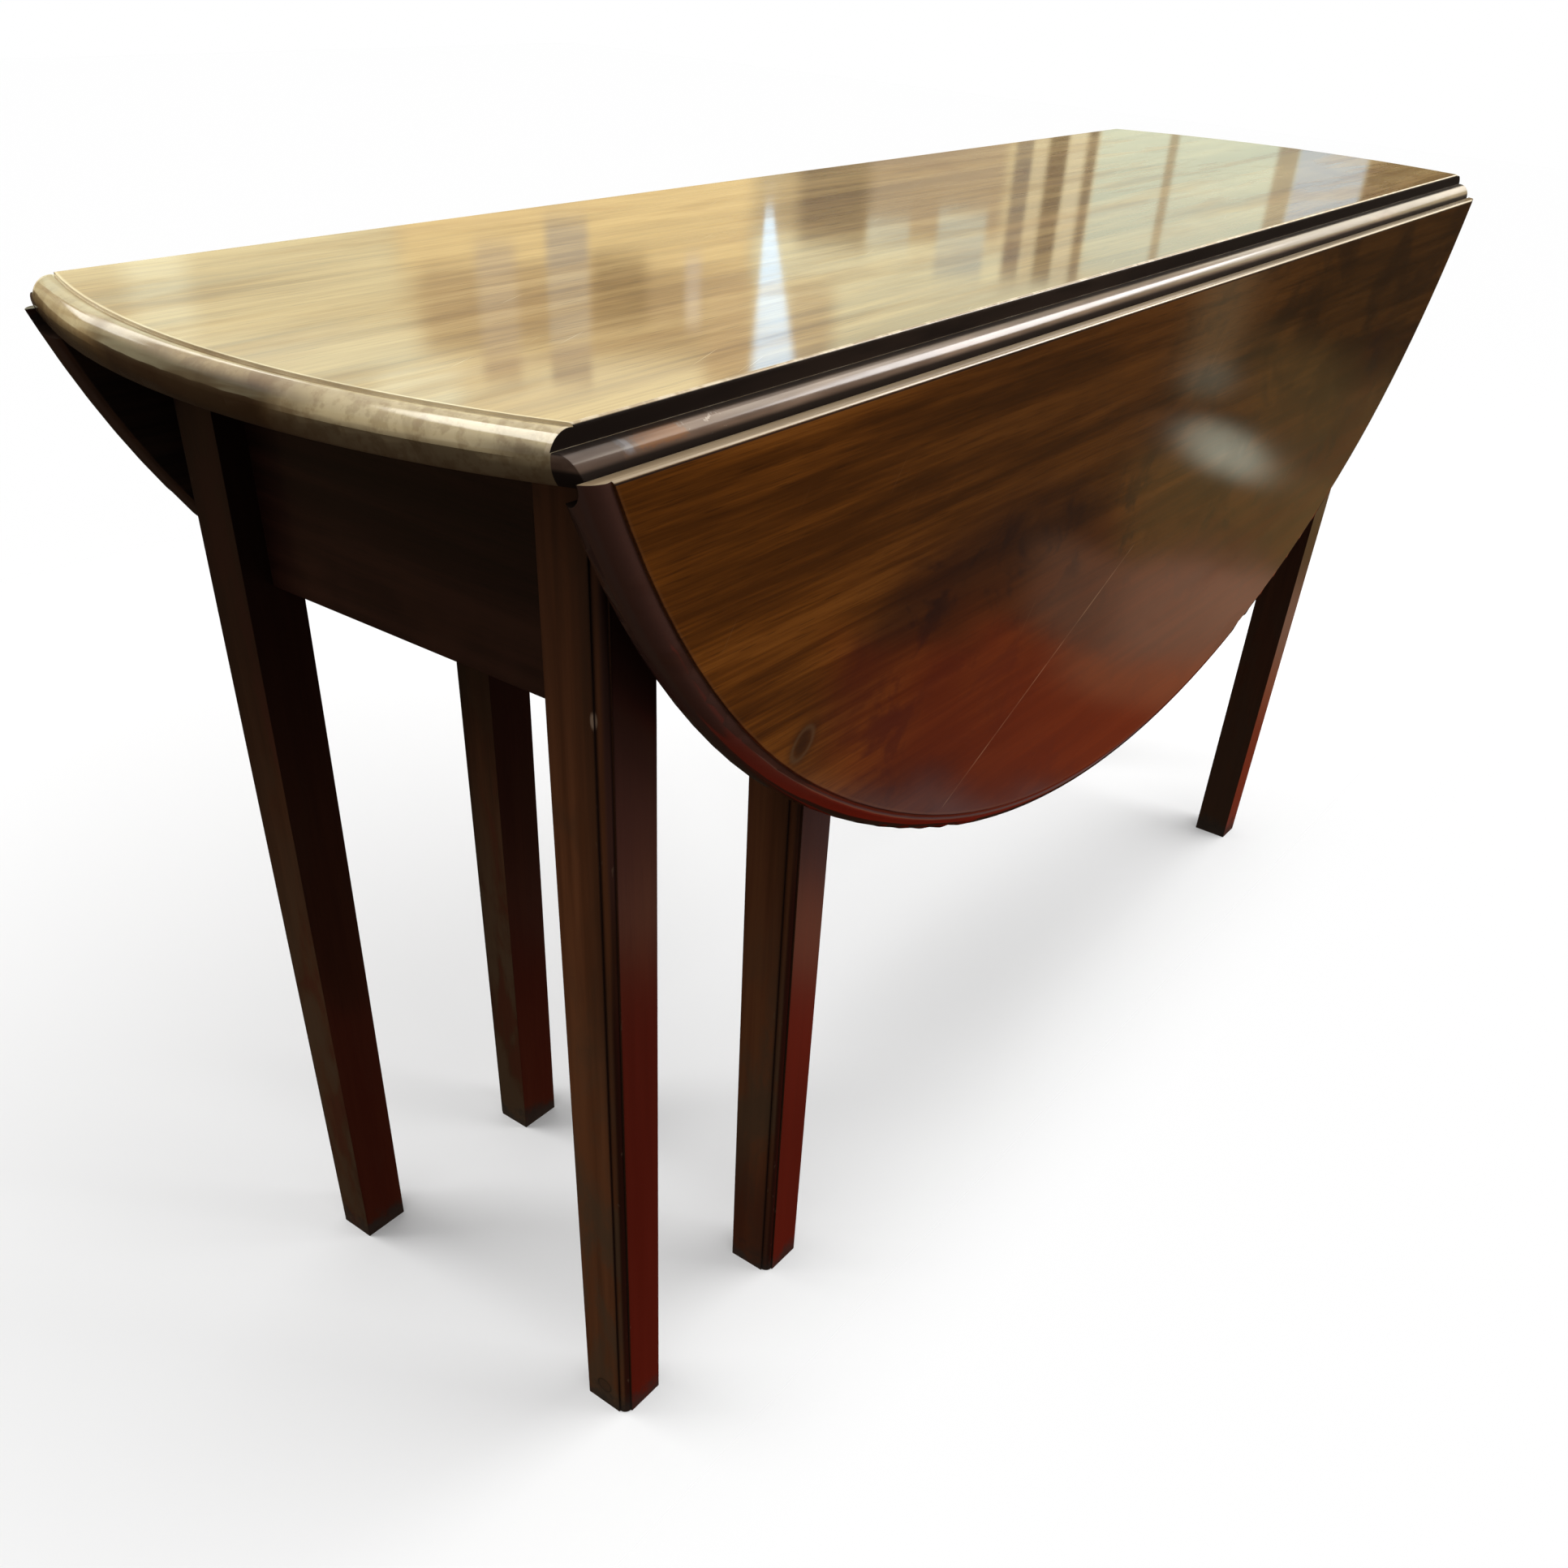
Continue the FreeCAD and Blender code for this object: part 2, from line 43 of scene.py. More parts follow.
# Places read from the frame
HALF_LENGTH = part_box("top_board")[1].x
NEAR_END = -HALF_LENGTH
TOP_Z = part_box("top_board")[1].z
UNDER_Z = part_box("top_board")[0].z
BOARD = TOP_Z - UNDER_Z
HINGE_Y = abs(frame["joints"][0]["pos_m"][1])
HINGE_Z = frame["joints"][0]["pos_m"][2]
LEAF_Y = -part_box("front_leaf")[0].y
LIP_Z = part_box("front_leaf")[1].z
LEG_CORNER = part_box("near_front_leg")[0]
GATE_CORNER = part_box("front_gate_leg")[0]

# The two tangent arcs of the oval
SPREAD = (HALF_LENGTH - OPEN_HALF_WIDTH) / (math.sin(OVAL_TURN) + math.cos(OVAL_TURN) - 1.0)
END_RADIUS = HALF_LENGTH - SPREAD * math.cos(OVAL_TURN)
END_CENTRE = HALF_LENGTH - END_RADIUS
SIDE_RADIUS = OPEN_HALF_WIDTH + SPREAD * math.sin(OVAL_TURN)
SIDE_CENTRE = SIDE_RADIUS - OPEN_HALF_WIDTH


class Tone:
    """One value inside a finish. Arithmetic on it adds Math nodes."""

    def __init__(self, finish, socket):
        self.finish = finish
        self.socket = socket

    def maths(self, operation, *others):
        values = dict(enumerate((self,) + others))
        return self.finish.node("ShaderNodeMath", {"operation": operation}, values)

    def turned(self, operation, other):
        """The same with the plain number first."""
        return self.finish.node("ShaderNodeMath", {"operation": operation}, {0: other, 1: self})

    def __add__(self, other):
        return self.maths("ADD", other)

    def __sub__(self, other):
        return self.maths("SUBTRACT", other)

    def __mul__(self, other):
        return self.maths("MULTIPLY", other)

    def __truediv__(self, other):
        return self.maths("DIVIDE", other)

    def __radd__(self, other):
        return self.turned("ADD", other)

    def __rsub__(self, other):
        return self.turned("SUBTRACT", other)

    def __rmul__(self, other):
        return self.turned("MULTIPLY", other)

    def __rtruediv__(self, other):
        return self.turned("DIVIDE", other)

    def __abs__(self):
        return self.maths("ABSOLUTE")

    def root(self):
        return self.maths("SQRT")

    def most(self, other):
        return self.maths("MAXIMUM", other)

    def least(self, other):
        return self.maths("MINIMUM", other)

    def rise(self, low, high):
        """Smooth step: 0 below low and 1 above high, or the other way round where low is above high."""
        limits = {"Value": self, "From Min": low, "From Max": high}
        return self.finish.node("ShaderNodeMapRange", {"interpolation_type": "SMOOTHSTEP"}, limits)

    def near(self, place, half_width):
        """A soft line where the value passes a place."""
        return abs(self - place).rise(half_width, 0.0)

    def within(self, low, high, soft):
        """1 between two limits, with soft ends."""
        return self.rise(low - soft, low + soft) * self.rise(high + soft, high - soft)


class Finish:
    """A node tree under construction, for a material or for the studio around the table."""

    def __init__(self, tree):
        self.tree = tree
        self.tree.nodes.clear()

    def node(self, kind, settings=None, values=None, out=0):
        made = self.tree.nodes.new(kind)
        for key, value in (settings or {}).items():
            if key == "stops":
                self.set_stops(made.color_ramp, value)
            else:
                setattr(made, key, value)
        for key, value in (values or {}).items():
            if isinstance(value, Tone):
                self.tree.links.new(value.socket, made.inputs[key])
            else:
                made.inputs[key].default_value = value
        return Tone(self, made.outputs[out]) if len(made.outputs) else made

    def set_stops(self, ramp, stops):
        while len(ramp.elements) < len(stops):
            ramp.elements.new(1.0)
        for element, (place, colour) in zip(ramp.elements, stops):
            element.position = place
            element.color = (*colour, 1.0)

    def blend(self, amount, first, second):
        """Mixes two colours."""
        first, second = [c if isinstance(c, Tone) else (*c, 1.0) for c in (first, second)]
        return self.node("ShaderNodeMix", {"data_type": "RGBA"}, {0: amount, 6: first, 7: second}, out=2)

    def noise(self, vector, scale, detail=2.0, roughness=0.5, distortion=0.0):
        """Noise with its own scale on each axis."""
        stretched = self.node("ShaderNodeVectorMath", {"operation": "MULTIPLY"}, {0: vector, 1: scale})
        values = {"Vector": stretched, "Scale": 1.0, "Detail": detail}
        values.update({"Roughness": roughness, "Distortion": distortion})
        return self.node("ShaderNodeTexNoise", {}, values)

    def even_noise(self, vector, scale, detail, roughness, distortion=0.0):
        """Noise with the same scale on all axes."""
        return self.noise(vector, (scale, scale, scale), detail, roughness, distortion)

    def split(self, vector):
        first = self.node("ShaderNodeSeparateXYZ", {}, {0: vector})
        return [Tone(self, socket) for socket in first.socket.node.outputs]

    def joined(self, x, y, z):
        return self.node("ShaderNodeCombineXYZ", {}, {0: x, 1: y, 2: z})

    def place(self):
        """Position on the piece at rest: the vector, and its x, y and z."""
        vector = self.node("ShaderNodeTexCoord", out=3)
        return vector, *self.split(vector)

    def facing(self):
        """The x, y and z of the outward direction on the piece at rest."""
        return self.split(self.node("ShaderNodeTexCoord", out=1))


def new_finish(name):
    material = bpy.data.materials.new(name)
    material.use_nodes = True
    return material, Finish(material.node_tree)


SOFT_ARRIS = 0.9 * MM
TOP_POLISH = {"Coat Roughness": 0.05, "Coat IOR": 1.5, "Specular IOR Level": 0.15}
LEAF_POLISH = {"Coat Roughness": 0.07, "Coat IOR": 1.5, "Specular IOR Level": 0.15}
WORN_POLISH = {"Coat Roughness": 0.15, "Coat IOR": 1.5, "Specular IOR Level": 0.2}
BARE_WOOD = {"Specular IOR Level": 0.25}
DULL_IRON = {"Metallic": 0.85}
DULL_STEEL = {"Metallic": 0.9}


def polish(f, colour, roughness, coat, height, relief, sockets):
    """Ends a finish: a wood or metal shader with its relief, softened at the arrises."""
    soft_arris = f.node("ShaderNodeBevel", {"samples": 4}, {"Radius": SOFT_ARRIS})
    bump_values = {"Strength": 1.0, "Distance": relief, "Height": height, "Normal": soft_arris}
    bump = f.node("ShaderNodeBump", {}, bump_values)
    values = {"Base Color": colour, "Roughness": roughness, "Coat Weight": coat, "Normal": bump}
    values.update(sockets)
    shader = f.node("ShaderNodeBsdfPrincipled", {}, values)
    f.node("ShaderNodeOutputMaterial", {}, {"Surface": shader})


class Timber:
    """Mahogany along one axis: broad figure, ribbons, fine streaks, fibres and short dark pores."""

    CONTRAST = 0.15

    def __init__(self, f, vector, along, bands=7.0, fine=1.0):
        self.f = f
        self.along = along
        self.fine = fine
        self.figure = f.noise(vector, self.scale(1.1, bands), 3.0, 0.55, 0.7)
        self.ribbon = f.noise(vector, self.scale(2.2, 40.0), 3.0, 0.6, 0.6)
        self.streak = f.noise(vector, self.scale(4.0, 120.0), 4.0, 0.6, 0.3)
        self.fibre = f.noise(vector, self.scale(14.0, 620.0), 2.0, 0.6)
        self.pores = f.noise(vector, self.scale(38.0, 1300.0), 1.0, 0.5).rise(0.60, 0.72)

    def scale(self, long_scale, cross_scale):
        return tuple(long_scale if axis == self.along else cross_scale for axis in "xyz")

    def colour(self, dark, body, pale):
        """Three tones of one wood. Fine grain counts for more where the wood's fine is above 1."""
        broad = self.figure * 0.38 + self.ribbon * 0.40
        narrow = self.streak * 0.26 + self.fibre * 0.16
        middle = 0.39 + 0.21 * self.fine
        share = (broad + narrow * self.fine).rise(middle - self.CONTRAST, middle + self.CONTRAST)
        stops = [(0.0, dark), (0.5, body), (1.0, pale)]
        colour = self.f.node("ShaderNodeValToRGB", {"stops": stops}, {"Fac": share})
        pore_colour = tuple(0.35 * c for c in dark)
        return self.f.blend(self.pores * 0.45, colour, pore_colour)

    def streaked(self, dark, pale):
        """Two tones of one colour, following the streaks."""
        return self.f.blend((self.streak * 0.6 + self.ribbon * 0.4).rise(0.36, 0.64), dark, pale)

    def relief(self, wave):
        return wave + self.streak * 0.10 + self.fibre * 0.02 - self.pores * 0.02


def planed(f, vector, broad, broad_depth, small, small_depth):
    """The slow unevenness that hand planes leave in a polished board, at two scales."""
    broad_wave = f.noise(vector, broad, 1.0, 0.4) * broad_depth
    return broad_wave + f.noise(vector, small, 1.0, 0.4) * small_depth


def hairlines(f, across, down, lean, strength):
    """Fine pale scratches that lean one way over a surface, broken up and sparse."""
    along = across * math.cos(lean) + down * math.sin(lean)
    aside = down * math.cos(lean) - across * math.sin(lean)
    laid = f.joined(along, aside, 0.0)
    line = f.noise(laid, (16.0, 1500.0, 1.0), 0.0).rise(0.80, 0.86)
    patch = f.noise(laid, (9.0, 14.0, 1.0), 1.0).rise(0.50, 0.64)
    return line * patch * strength


# The top
HONEY_WOOD = ((0.150, 0.066, 0.015), (0.310, 0.180, 0.056), (0.450, 0.300, 0.120))
HONEY_STAIN = ((0.130, 0.048, 0.011), (0.250, 0.115, 0.031))
TOP_SCRATCH = (0.75, 0.66, 0.48)
TOP_SCRATCH_LEANS = [(0.35, 0.6), (-0.6, 0.5)]
ARRIS_WEAR_AND_HIGHLIGHT = (0.74, 0.62, 0.43)
WORN_ROUND = ((0.100, 0.056, 0.034), (0.220, 0.142, 0.094))
JOINT_PAINTED_SHADE = (0.007, 0.004, 0.003)
STEP_PAINTED_SHADE = (0.009, 0.0050, 0.0036)
STEP_LIGHTER_SHADE = (0.022, 0.0130, 0.0088)
STEP_LIGHTER_SHADE_X = NEAR_END + 0.385
STEP_LIGHTER_SHADE_REACH = (0.32, 0.12)
TOP_UNDERSIDE = ((0.045, 0.022, 0.011), (0.120, 0.065, 0.032))
TOP_RELIEF = 0.14 * MM


def top_finish():
    """Honey-gold polished top, with worn moulded ends and painted shade on the step and round of the rule
    joint.
    """
    material, f = new_finish("top_honey_mahogany")
    vector, x, y, z = f.place()
    _, ny, nz = f.facing()
    wood = Timber(f, vector, "x")
    colour = wood.colour(*HONEY_WOOD)
    stain = f.noise(vector, (3.0, 7.0, 7.0), 4.0, 0.65, 0.6).rise(0.48, 0.66)
    colour = f.blend(stain * 0.6, colour, wood.streaked(*HONEY_STAIN))
    for lean, strength in TOP_SCRATCH_LEANS:
        colour = f.blend(hairlines(f, x, y, lean, strength), colour, TOP_SCRATCH)
    colour = nosed_ends(f, vector, x, y, nz, colour)

    wear = f.noise(vector, (9.0, 60.0, 60.0), 3.0, 0.6)
    beyond = abs(y) - ARRIS_Y
    chips = f.noise(vector, (70.0, 20.0, 20.0), 3.0, 0.7).rise(0.46, 0.64)
    # A pale broken line along the rounded arris: partly wear, partly a painted highlight.
    arris = beyond.rise(-ARRIS_ROUND - 0.6 * MM, -ARRIS_ROUND + 0.2 * MM) * nz.rise(0.15, 0.40)
    colour = f.blend(arris * (0.35 + chips * 0.55), colour, ARRIS_WEAR_AND_HIGHLIGHT)
    rounded = beyond.rise(0.2 * MM, 0.7 * MM)
    round_colour = f.blend(wear.rise(0.42, 0.7), *WORN_ROUND)
    round_colour = repair_marks(f, x, y, z, wear, round_colour)
    # Painted shade on the round of the joint: near black low down, where it turns under towards the
    # leaf's lip, and in the inner corner under the step.
    low_round_shade = z.rise(HINGE_Z + 5.6 * MM, HINGE_Z + 3.2 * MM)
    round_shade = low_round_shade.most(z.rise(TOP_Z - JOINT_STEP - 1.0 * MM, TOP_Z - JOINT_STEP))
    round_colour = f.blend(round_shade * 0.95, round_colour, JOINT_PAINTED_SHADE)
    colour = f.blend(rounded, colour, round_colour)
    # The step face under the arris is painted near black as shade, a little less dark in patches.
    step = abs(ny).rise(0.55, 0.85) * beyond.rise(-1.2 * MM, -0.6 * MM) * beyond.rise(0.6 * MM, 0.3 * MM)
    lighter_step = abs(x - STEP_LIGHTER_SHADE_X).rise(*STEP_LIGHTER_SHADE_REACH) * wear.rise(0.30, 0.60)
    colour = f.blend(step, colour, f.blend(lighter_step, STEP_PAINTED_SHADE, STEP_LIGHTER_SHADE))

    underside = nz.rise(-0.5, -0.8)
    colour = f.blend(underside, colour, wood.streaked(*TOP_UNDERSIDE))
    dull = (underside + step + rounded * round_shade).least(1.0)
    worn_thin = f.noise(vector, (4.0, 26.0, 26.0), 4.0, 0.65, 0.4).rise(0.46, 0.66)
    coat = 1.0 - (dull * 0.95).most(worn_thin * 0.30)
    wave = planed(f, vector, (5.0, 9.0, 9.0), 0.4, (16.0, 34.0, 34.0), 0.12)
    roughness = 0.32 + wood.streak * 0.1 + dull * 0.35
    polish(f, colour, roughness, coat, wood.relief(wave), TOP_RELIEF, TOP_POLISH)
    return material


# The moulded ends of the top
NOSE_FROM = 0.20
NOSE_WOOD = ((0.190, 0.115, 0.044), (0.350, 0.250, 0.116))
NOSE_PAINTED_LIGHT = (0.640, 0.530, 0.310)
NOSE_PAINTED_LIGHT_Y = (-0.045, -0.095)
NOSE_BLOTCH = (0.150, 0.076, 0.020)
NOSE_SPECKLE = (0.200, 0.112, 0.036)
NOSE_PAINTED_SHADE = (0.028, 0.0130, 0.0052)
NOSE_LOWER_SHADE_Y = (0.11, 0.07)
NOSE_CORNER_Y = (-0.145, -0.180)
FILLET_PAINTED_HIGHLIGHT = (0.80, 0.68, 0.44)
FILLET_CREASE_SHADE = (0.120, 0.062, 0.024)


def nosed_ends(f, vector, x, y, nz, colour):
    """Worn gold nosing round both bowed ends, with painted light towards the front and painted shade
    where it turns down, a painted highlight along the fillet inside it and a painted shade line just
    outside the fillet.
    """
    along = abs(x) - END_CENTRE
    on_end = along.rise(NOSE_FROM, NOSE_FROM + 10.0 * MM)
    from_end = (along * along + y * y).root() - END_RADIUS + EDGE_WIDTH
    handled = f.even_noise(vector, 12.0, 4.0, 0.6, 0.5)
    nose_colour = f.blend(handled.rise(0.38, 0.62), *NOSE_WOOD)
    # Painted light: the nosing turns paler towards the front.
    front_light = (y + (handled - 0.5) * 0.10).rise(*NOSE_PAINTED_LIGHT_Y)
    nose_colour = f.blend(front_light * (0.5 + handled * 0.5), nose_colour, NOSE_PAINTED_LIGHT)
    blotch = f.even_noise(vector, 38.0, 4.0, 0.65, 0.5).rise(0.47, 0.62)
    nose_colour = f.blend(blotch * (0.5 - front_light * 0.25), nose_colour, NOSE_BLOTCH)
    speckle = f.even_noise(vector, 150.0, 3.0, 0.6).rise(0.46, 0.62)
    nose_colour = f.blend(speckle * 0.35, nose_colour, NOSE_SPECKLE)
    # Painted shade: the nosing darkens as it turns down, except towards the front and at the far rear. It
    # also darkens on its underside, and low down near the front corner.
    lower_shade = nz.rise(0.96, 0.48) * 0.95 * (1.0 - front_light) * y.rise(*NOSE_LOWER_SHADE_Y)
    corner_shade = y.rise(*NOSE_CORNER_Y) * nz.rise(0.70, 0.25) * 0.6
    nose_shade = lower_shade.most(nz.rise(0.30, -0.25) * 0.8).most(corner_shade)
    nose_colour = f.blend(nose_shade, nose_colour, NOSE_PAINTED_SHADE)
    nosing = from_end.rise(-0.4 * MM, 0.4 * MM) * on_end
    colour = f.blend(nosing, colour, nose_colour)
    # A painted highlight along the fillet, stronger in patches.
    rubbed = f.even_noise(vector, 14.0, 2.0, 0.6).rise(0.35, 0.6)
    fillet_highlight = from_end.near(-0.5 * MM, 1.8 * MM) * on_end
    colour = f.blend(fillet_highlight * (0.40 + rubbed * 0.45), colour, FILLET_PAINTED_HIGHLIGHT)
    # Painted shade: a dark line in the crease just outside the fillet, weaker where the highlight is
    # stronger.
    fillet_crease_shade = from_end.near(1.4 * MM, 1.3 * MM) * on_end
    return f.blend(fillet_crease_shade * (0.45 - rubbed * 0.3), colour, FILLET_CREASE_SHADE)


# Marks at the near end of the front rule joint, with heights above the hinge pin
PATCH_X = (NEAR_END + 0.083, NEAR_END + 0.113)
PATCH_FROM = (4.5 * MM, 6.5 * MM)
PATCH_ORANGE = ((0.120, 0.045, 0.014), (0.270, 0.112, 0.036))
DENT_X = NEAR_END + 0.074
DENT_HEIGHT = 8.5 * MM
DENT_GREY = (0.190, 0.187, 0.198)
DENT_SHADE = (0.050, 0.035, 0.030)
RUBBED_X = (NEAR_END + 0.113, NEAR_END + 0.140)
RUBBED_SPOT = (0.55, 0.46, 0.37)


def repair_marks(f, x, y, z, wear, colour):
    """Worn orange patch, a grey dent and pale rubbed spots on the round of the joint."""
    front = y.rise(0.0, -0.1)
    ragged = (f.noise(f.joined(x, z, 0.0), (150.0, 260.0, 1.0), 3.0, 0.6) - 0.5) * 0.024
    height = z - HINGE_Z
    patch = (x + ragged).within(*PATCH_X, 3.0 * MM) * (height + ragged * 0.25).rise(*PATCH_FROM)
    orange = f.blend(wear.rise(0.35, 0.65), *PATCH_ORANGE)
    colour = f.blend(front * patch * 0.8, colour, orange)
    dent_x = x - DENT_X + ragged * 0.3
    dent_z = height - DENT_HEIGHT + dent_x * 0.4
    dent = (dent_x * dent_x * 0.5 + dent_z * dent_z).root()
    colour = f.blend(front * dent.rise(3.6 * MM, 1.2 * MM) * 0.7, colour, DENT_GREY)
    dent_side = (dent + 2.0 * dent_x).rise(0.5 * MM, -2.5 * MM)
    colour = f.blend(front * dent_side * 0.5, colour, DENT_SHADE)
    rubbed = ragged.rise(2.2 * MM, 4.0 * MM) * x.within(*RUBBED_X, 6.0 * MM)
    return f.blend(front * rubbed * 0.6, colour, RUBBED_SPOT)


# The boards of the leaves
LEAF_FINE_GRAIN = 1.6
LEAF_WOOD = ((0.066, 0.0190, 0.0015), (0.138, 0.0415, 0.0036), (0.225, 0.0740, 0.0090))
LEAF_DARK_BROWN = ((0.0160, 0.0060, 0.0016), (0.0340, 0.0120, 0.0028))
LEAF_DARK_BROWN_X = (NEAR_END + 0.125, NEAR_END + 0.405)
LEAF_OLIVE = ((0.0210, 0.0105, 0.0018), (0.0460, 0.0215, 0.0038))
LEAF_OLIVE_X = (NEAR_END + 0.535, NEAR_END + 1.035)
LEAF_SHADE = (0.0140, 0.0062, 0.0022)
LEAF_SHADE_X = (NEAR_END + 0.385, NEAR_END + 0.785)
LEAF_SHADE_Z = (TOP_Z - 0.315, TOP_Z - 0.175)
LEAF_RED_AND_REFLECTION = ((0.0340, 0.0058, 0.0016), (0.0660, 0.0112, 0.0030))
LEAF_RED_X = (NEAR_END + 0.275, NEAR_END + 0.405)
LEAF_RED_Z = (TOP_Z + 0.015, TOP_Z - 0.125)
LEAF_PAINTED_SHADE_BAND = (0.0110, 0.0042, 0.0032)
LEAF_SHADE_BAND_X = (NEAR_END + 0.230, NEAR_END + 0.555)
LEAF_SHADE_BAND_Z = (TOP_Z - 0.170, TOP_Z - 0.120)
LEAF_SHADE_BAND_BEND_X = NEAR_END + 0.385
LEAF_PAINTED_SHADE_PATCHES = (0.0110, 0.0046, 0.0042)
LEAF_LIP = ((0.250, 0.175, 0.098), (0.440, 0.330, 0.200))
LEAF_LIP_SHADED = (0.0120, 0.0065, 0.0045)
LEAF_LIP_SHADED_X = (NEAR_END + 0.185, NEAR_END + 0.105)
LEAF_INSIDE_BARE_AND_SHADED = ((0.0080, 0.0042, 0.0028), (0.0260, 0.0125, 0.0070))
LEAF_COVE_Z = (HINGE_Z - 0.030, HINGE_Z - 0.025)
LEAF_RELIEF = 0.14 * MM


def leaf_finish(name, side):
    """Golden-brown polished leaf with a tan joint lip, and bare wood with painted shade on its inside
    face and joint cove. Its side is -1 in front and 1 at the rear.
    """
    material, f = new_finish(name)
    vector, x, y, z = f.place()
    nz = f.facing()[2]
    wood = Timber(f, vector, "x", fine=LEAF_FINE_GRAIN)
    mottle = f.noise(vector, (6.0, 13.0, 13.0), 4.0, 0.65, 0.6)
    colour = leaf_board(f, vector, x, z, wood, mottle)
    colour = leaf_edge(f, x, z, wood, side, colour)
    lip = nz.rise(0.35, 0.7) * z.rise(LIP_Z - 2.0 * MM, LIP_Z - 1.0 * MM)
    colour = f.blend(lip, colour, wood.streaked(*LEAF_LIP))
    # The inside face and the cove of the joint, under the top: bare wood darkened with painted shade.
    inside = (y * side).rise(LEAF_Y - BOARD + 1.0 * MM, LEAF_Y - BOARD + 0.2 * MM)
    cove = nz.rise(0.05, 0.2) * z.rise(*LEAF_COVE_Z) * (1.0 - lip)
    hidden = inside.most(cove)
    dull = hidden * 0.9
    if side > 0.0:
        shaded_lip = lip * x.rise(*LEAF_LIP_SHADED_X)
        colour = f.blend(shaded_lip, colour, LEAF_LIP_SHADED)
        dull = dull + shaded_lip * 0.95
    colour = f.blend(hidden, colour, wood.streaked(*LEAF_INSIDE_BARE_AND_SHADED))
    wave = planed(f, vector, (5.0, 8.0, 8.0), 0.4, (16.0, 20.0, 20.0), 0.2)
    roughness = 0.34 + wood.streak * 0.1 + hidden * 0.4
    coat = 1.0 - dull.most(mottle.rise(0.48, 0.68) * 0.15)
    polish(f, colour, roughness, coat, wood.relief(wave), LEAF_RELIEF, LEAF_POLISH)
    return material


def leaf_board(f, vector, x, z, wood, mottle):
    """Gold at the near end, olive towards the far end and red at the foot, partly as a painted
    reflection, with dark clouds and painted shade between.
    """
    colour = wood.colour(*LEAF_WOOD)
    colour = f.blend(x.rise(*LEAF_DARK_BROWN_X) * 0.50, colour, wood.streaked(*LEAF_DARK_BROWN))
    colour = f.blend(x.rise(*LEAF_OLIVE_X) * 0.55, colour, wood.streaked(*LEAF_OLIVE))
    shade = mottle.rise(0.45, 0.60) * x.rise(*LEAF_SHADE_X) * z.rise(*LEAF_SHADE_Z)
    colour = f.blend(shade * 0.6, colour, LEAF_SHADE)
    cloud = f.noise(vector, (6.0, 6.0, 8.0), 3.0, 0.55)
    drift = cloud - 0.5
    # Red at the foot: partly red wood, partly a painted reflection of a red floor.
    red = (z + cloud * 0.24).rise(*LEAF_RED_Z) * (x + cloud * 0.12).rise(*LEAF_RED_X)
    colour = f.blend(red * 0.8, colour, wood.streaked(*LEAF_RED_AND_REFLECTION))
    # Painted shade: a dark slanting band between the gold and the red, and dark patches in the red and
    # along its border.
    patchy = f.noise(vector, (14.0, 14.0, 24.0), 4.0, 0.65, 0.5).rise(0.50, 0.64)
    slant = z - (x - LEAF_SHADE_BAND_BEND_X).least(0.0) * 0.23 + drift * 0.08
    shade_band = slant.within(*LEAF_SHADE_BAND_Z, 27.0 * MM) * (x + drift * 0.06).within(*LEAF_SHADE_BAND_X, 35.0 * MM)
    colour = f.blend(shade_band * (0.67 + patchy * 0.24), colour, LEAF_PAINTED_SHADE_BAND)
    red_border = red.rise(0.02, 0.45) * red.rise(0.99, 0.60)
    colour = f.blend(patchy * (red * 0.35 + red_border * 0.55), colour, LEAF_PAINTED_SHADE_PATCHES)
    return leaf_marks(f, x, z, drift, colour)


# Marks on the leaves
KNOT_X = NEAR_END + 0.203
KNOT_Z = TOP_Z - 0.195
KNOT_HEART = (0.0140, 0.0075, 0.0034)
KNOT_RING = (0.105, 0.0600, 0.0280)
SCRATCH_START = (NEAR_END + 0.625, TOP_Z - 0.190)
SCRATCH_END = (NEAR_END + 0.381, TOP_Z - 0.309)
LONG_SCRATCH = (0.260, 0.150, 0.085)
LEAF_SCRATCH = (0.220, 0.120, 0.055)


def leaf_marks(f, x, z, drift, colour):
    """A small knot low on the near side, one long diagonal scratch and a few faint ones."""
    knot_x = (x - KNOT_X) * 0.8
    knot_z = z - KNOT_Z - (x - KNOT_X) * 0.35
    ring = (knot_x * knot_x + knot_z * knot_z).root() + drift * 0.014
    colour = f.blend(ring.rise(20.0 * MM, 4.0 * MM) * 0.85, colour, KNOT_HEART)
    colour = f.blend(ring.near(10.5 * MM, 2.4 * MM) * 0.6, colour, KNOT_RING)
    run = SCRATCH_END[0] - SCRATCH_START[0]
    drop = SCRATCH_END[1] - SCRATCH_START[1]
    length = math.hypot(run, drop)
    from_x = x - SCRATCH_START[0]
    from_z = z - SCRATCH_START[1]
    share = (from_x * run + from_z * drop) / length ** 2
    aside = abs(from_x * drop - from_z * run) / length
    broken = f.noise(f.joined(share, 0.0, 0.0), (7.0, 1.0, 1.0), 2.0).rise(0.40, 0.60)
    scratch = aside.rise(0.9 * MM, 0.2 * MM) * share.within(0.0, 1.0, 0.02) * (0.3 + broken * 0.7)
    colour = f.blend(scratch * 0.8, colour, LONG_SCRATCH)
    return f.blend(hairlines(f, x, z, 0.9, 0.45), colour, LEAF_SCRATCH)


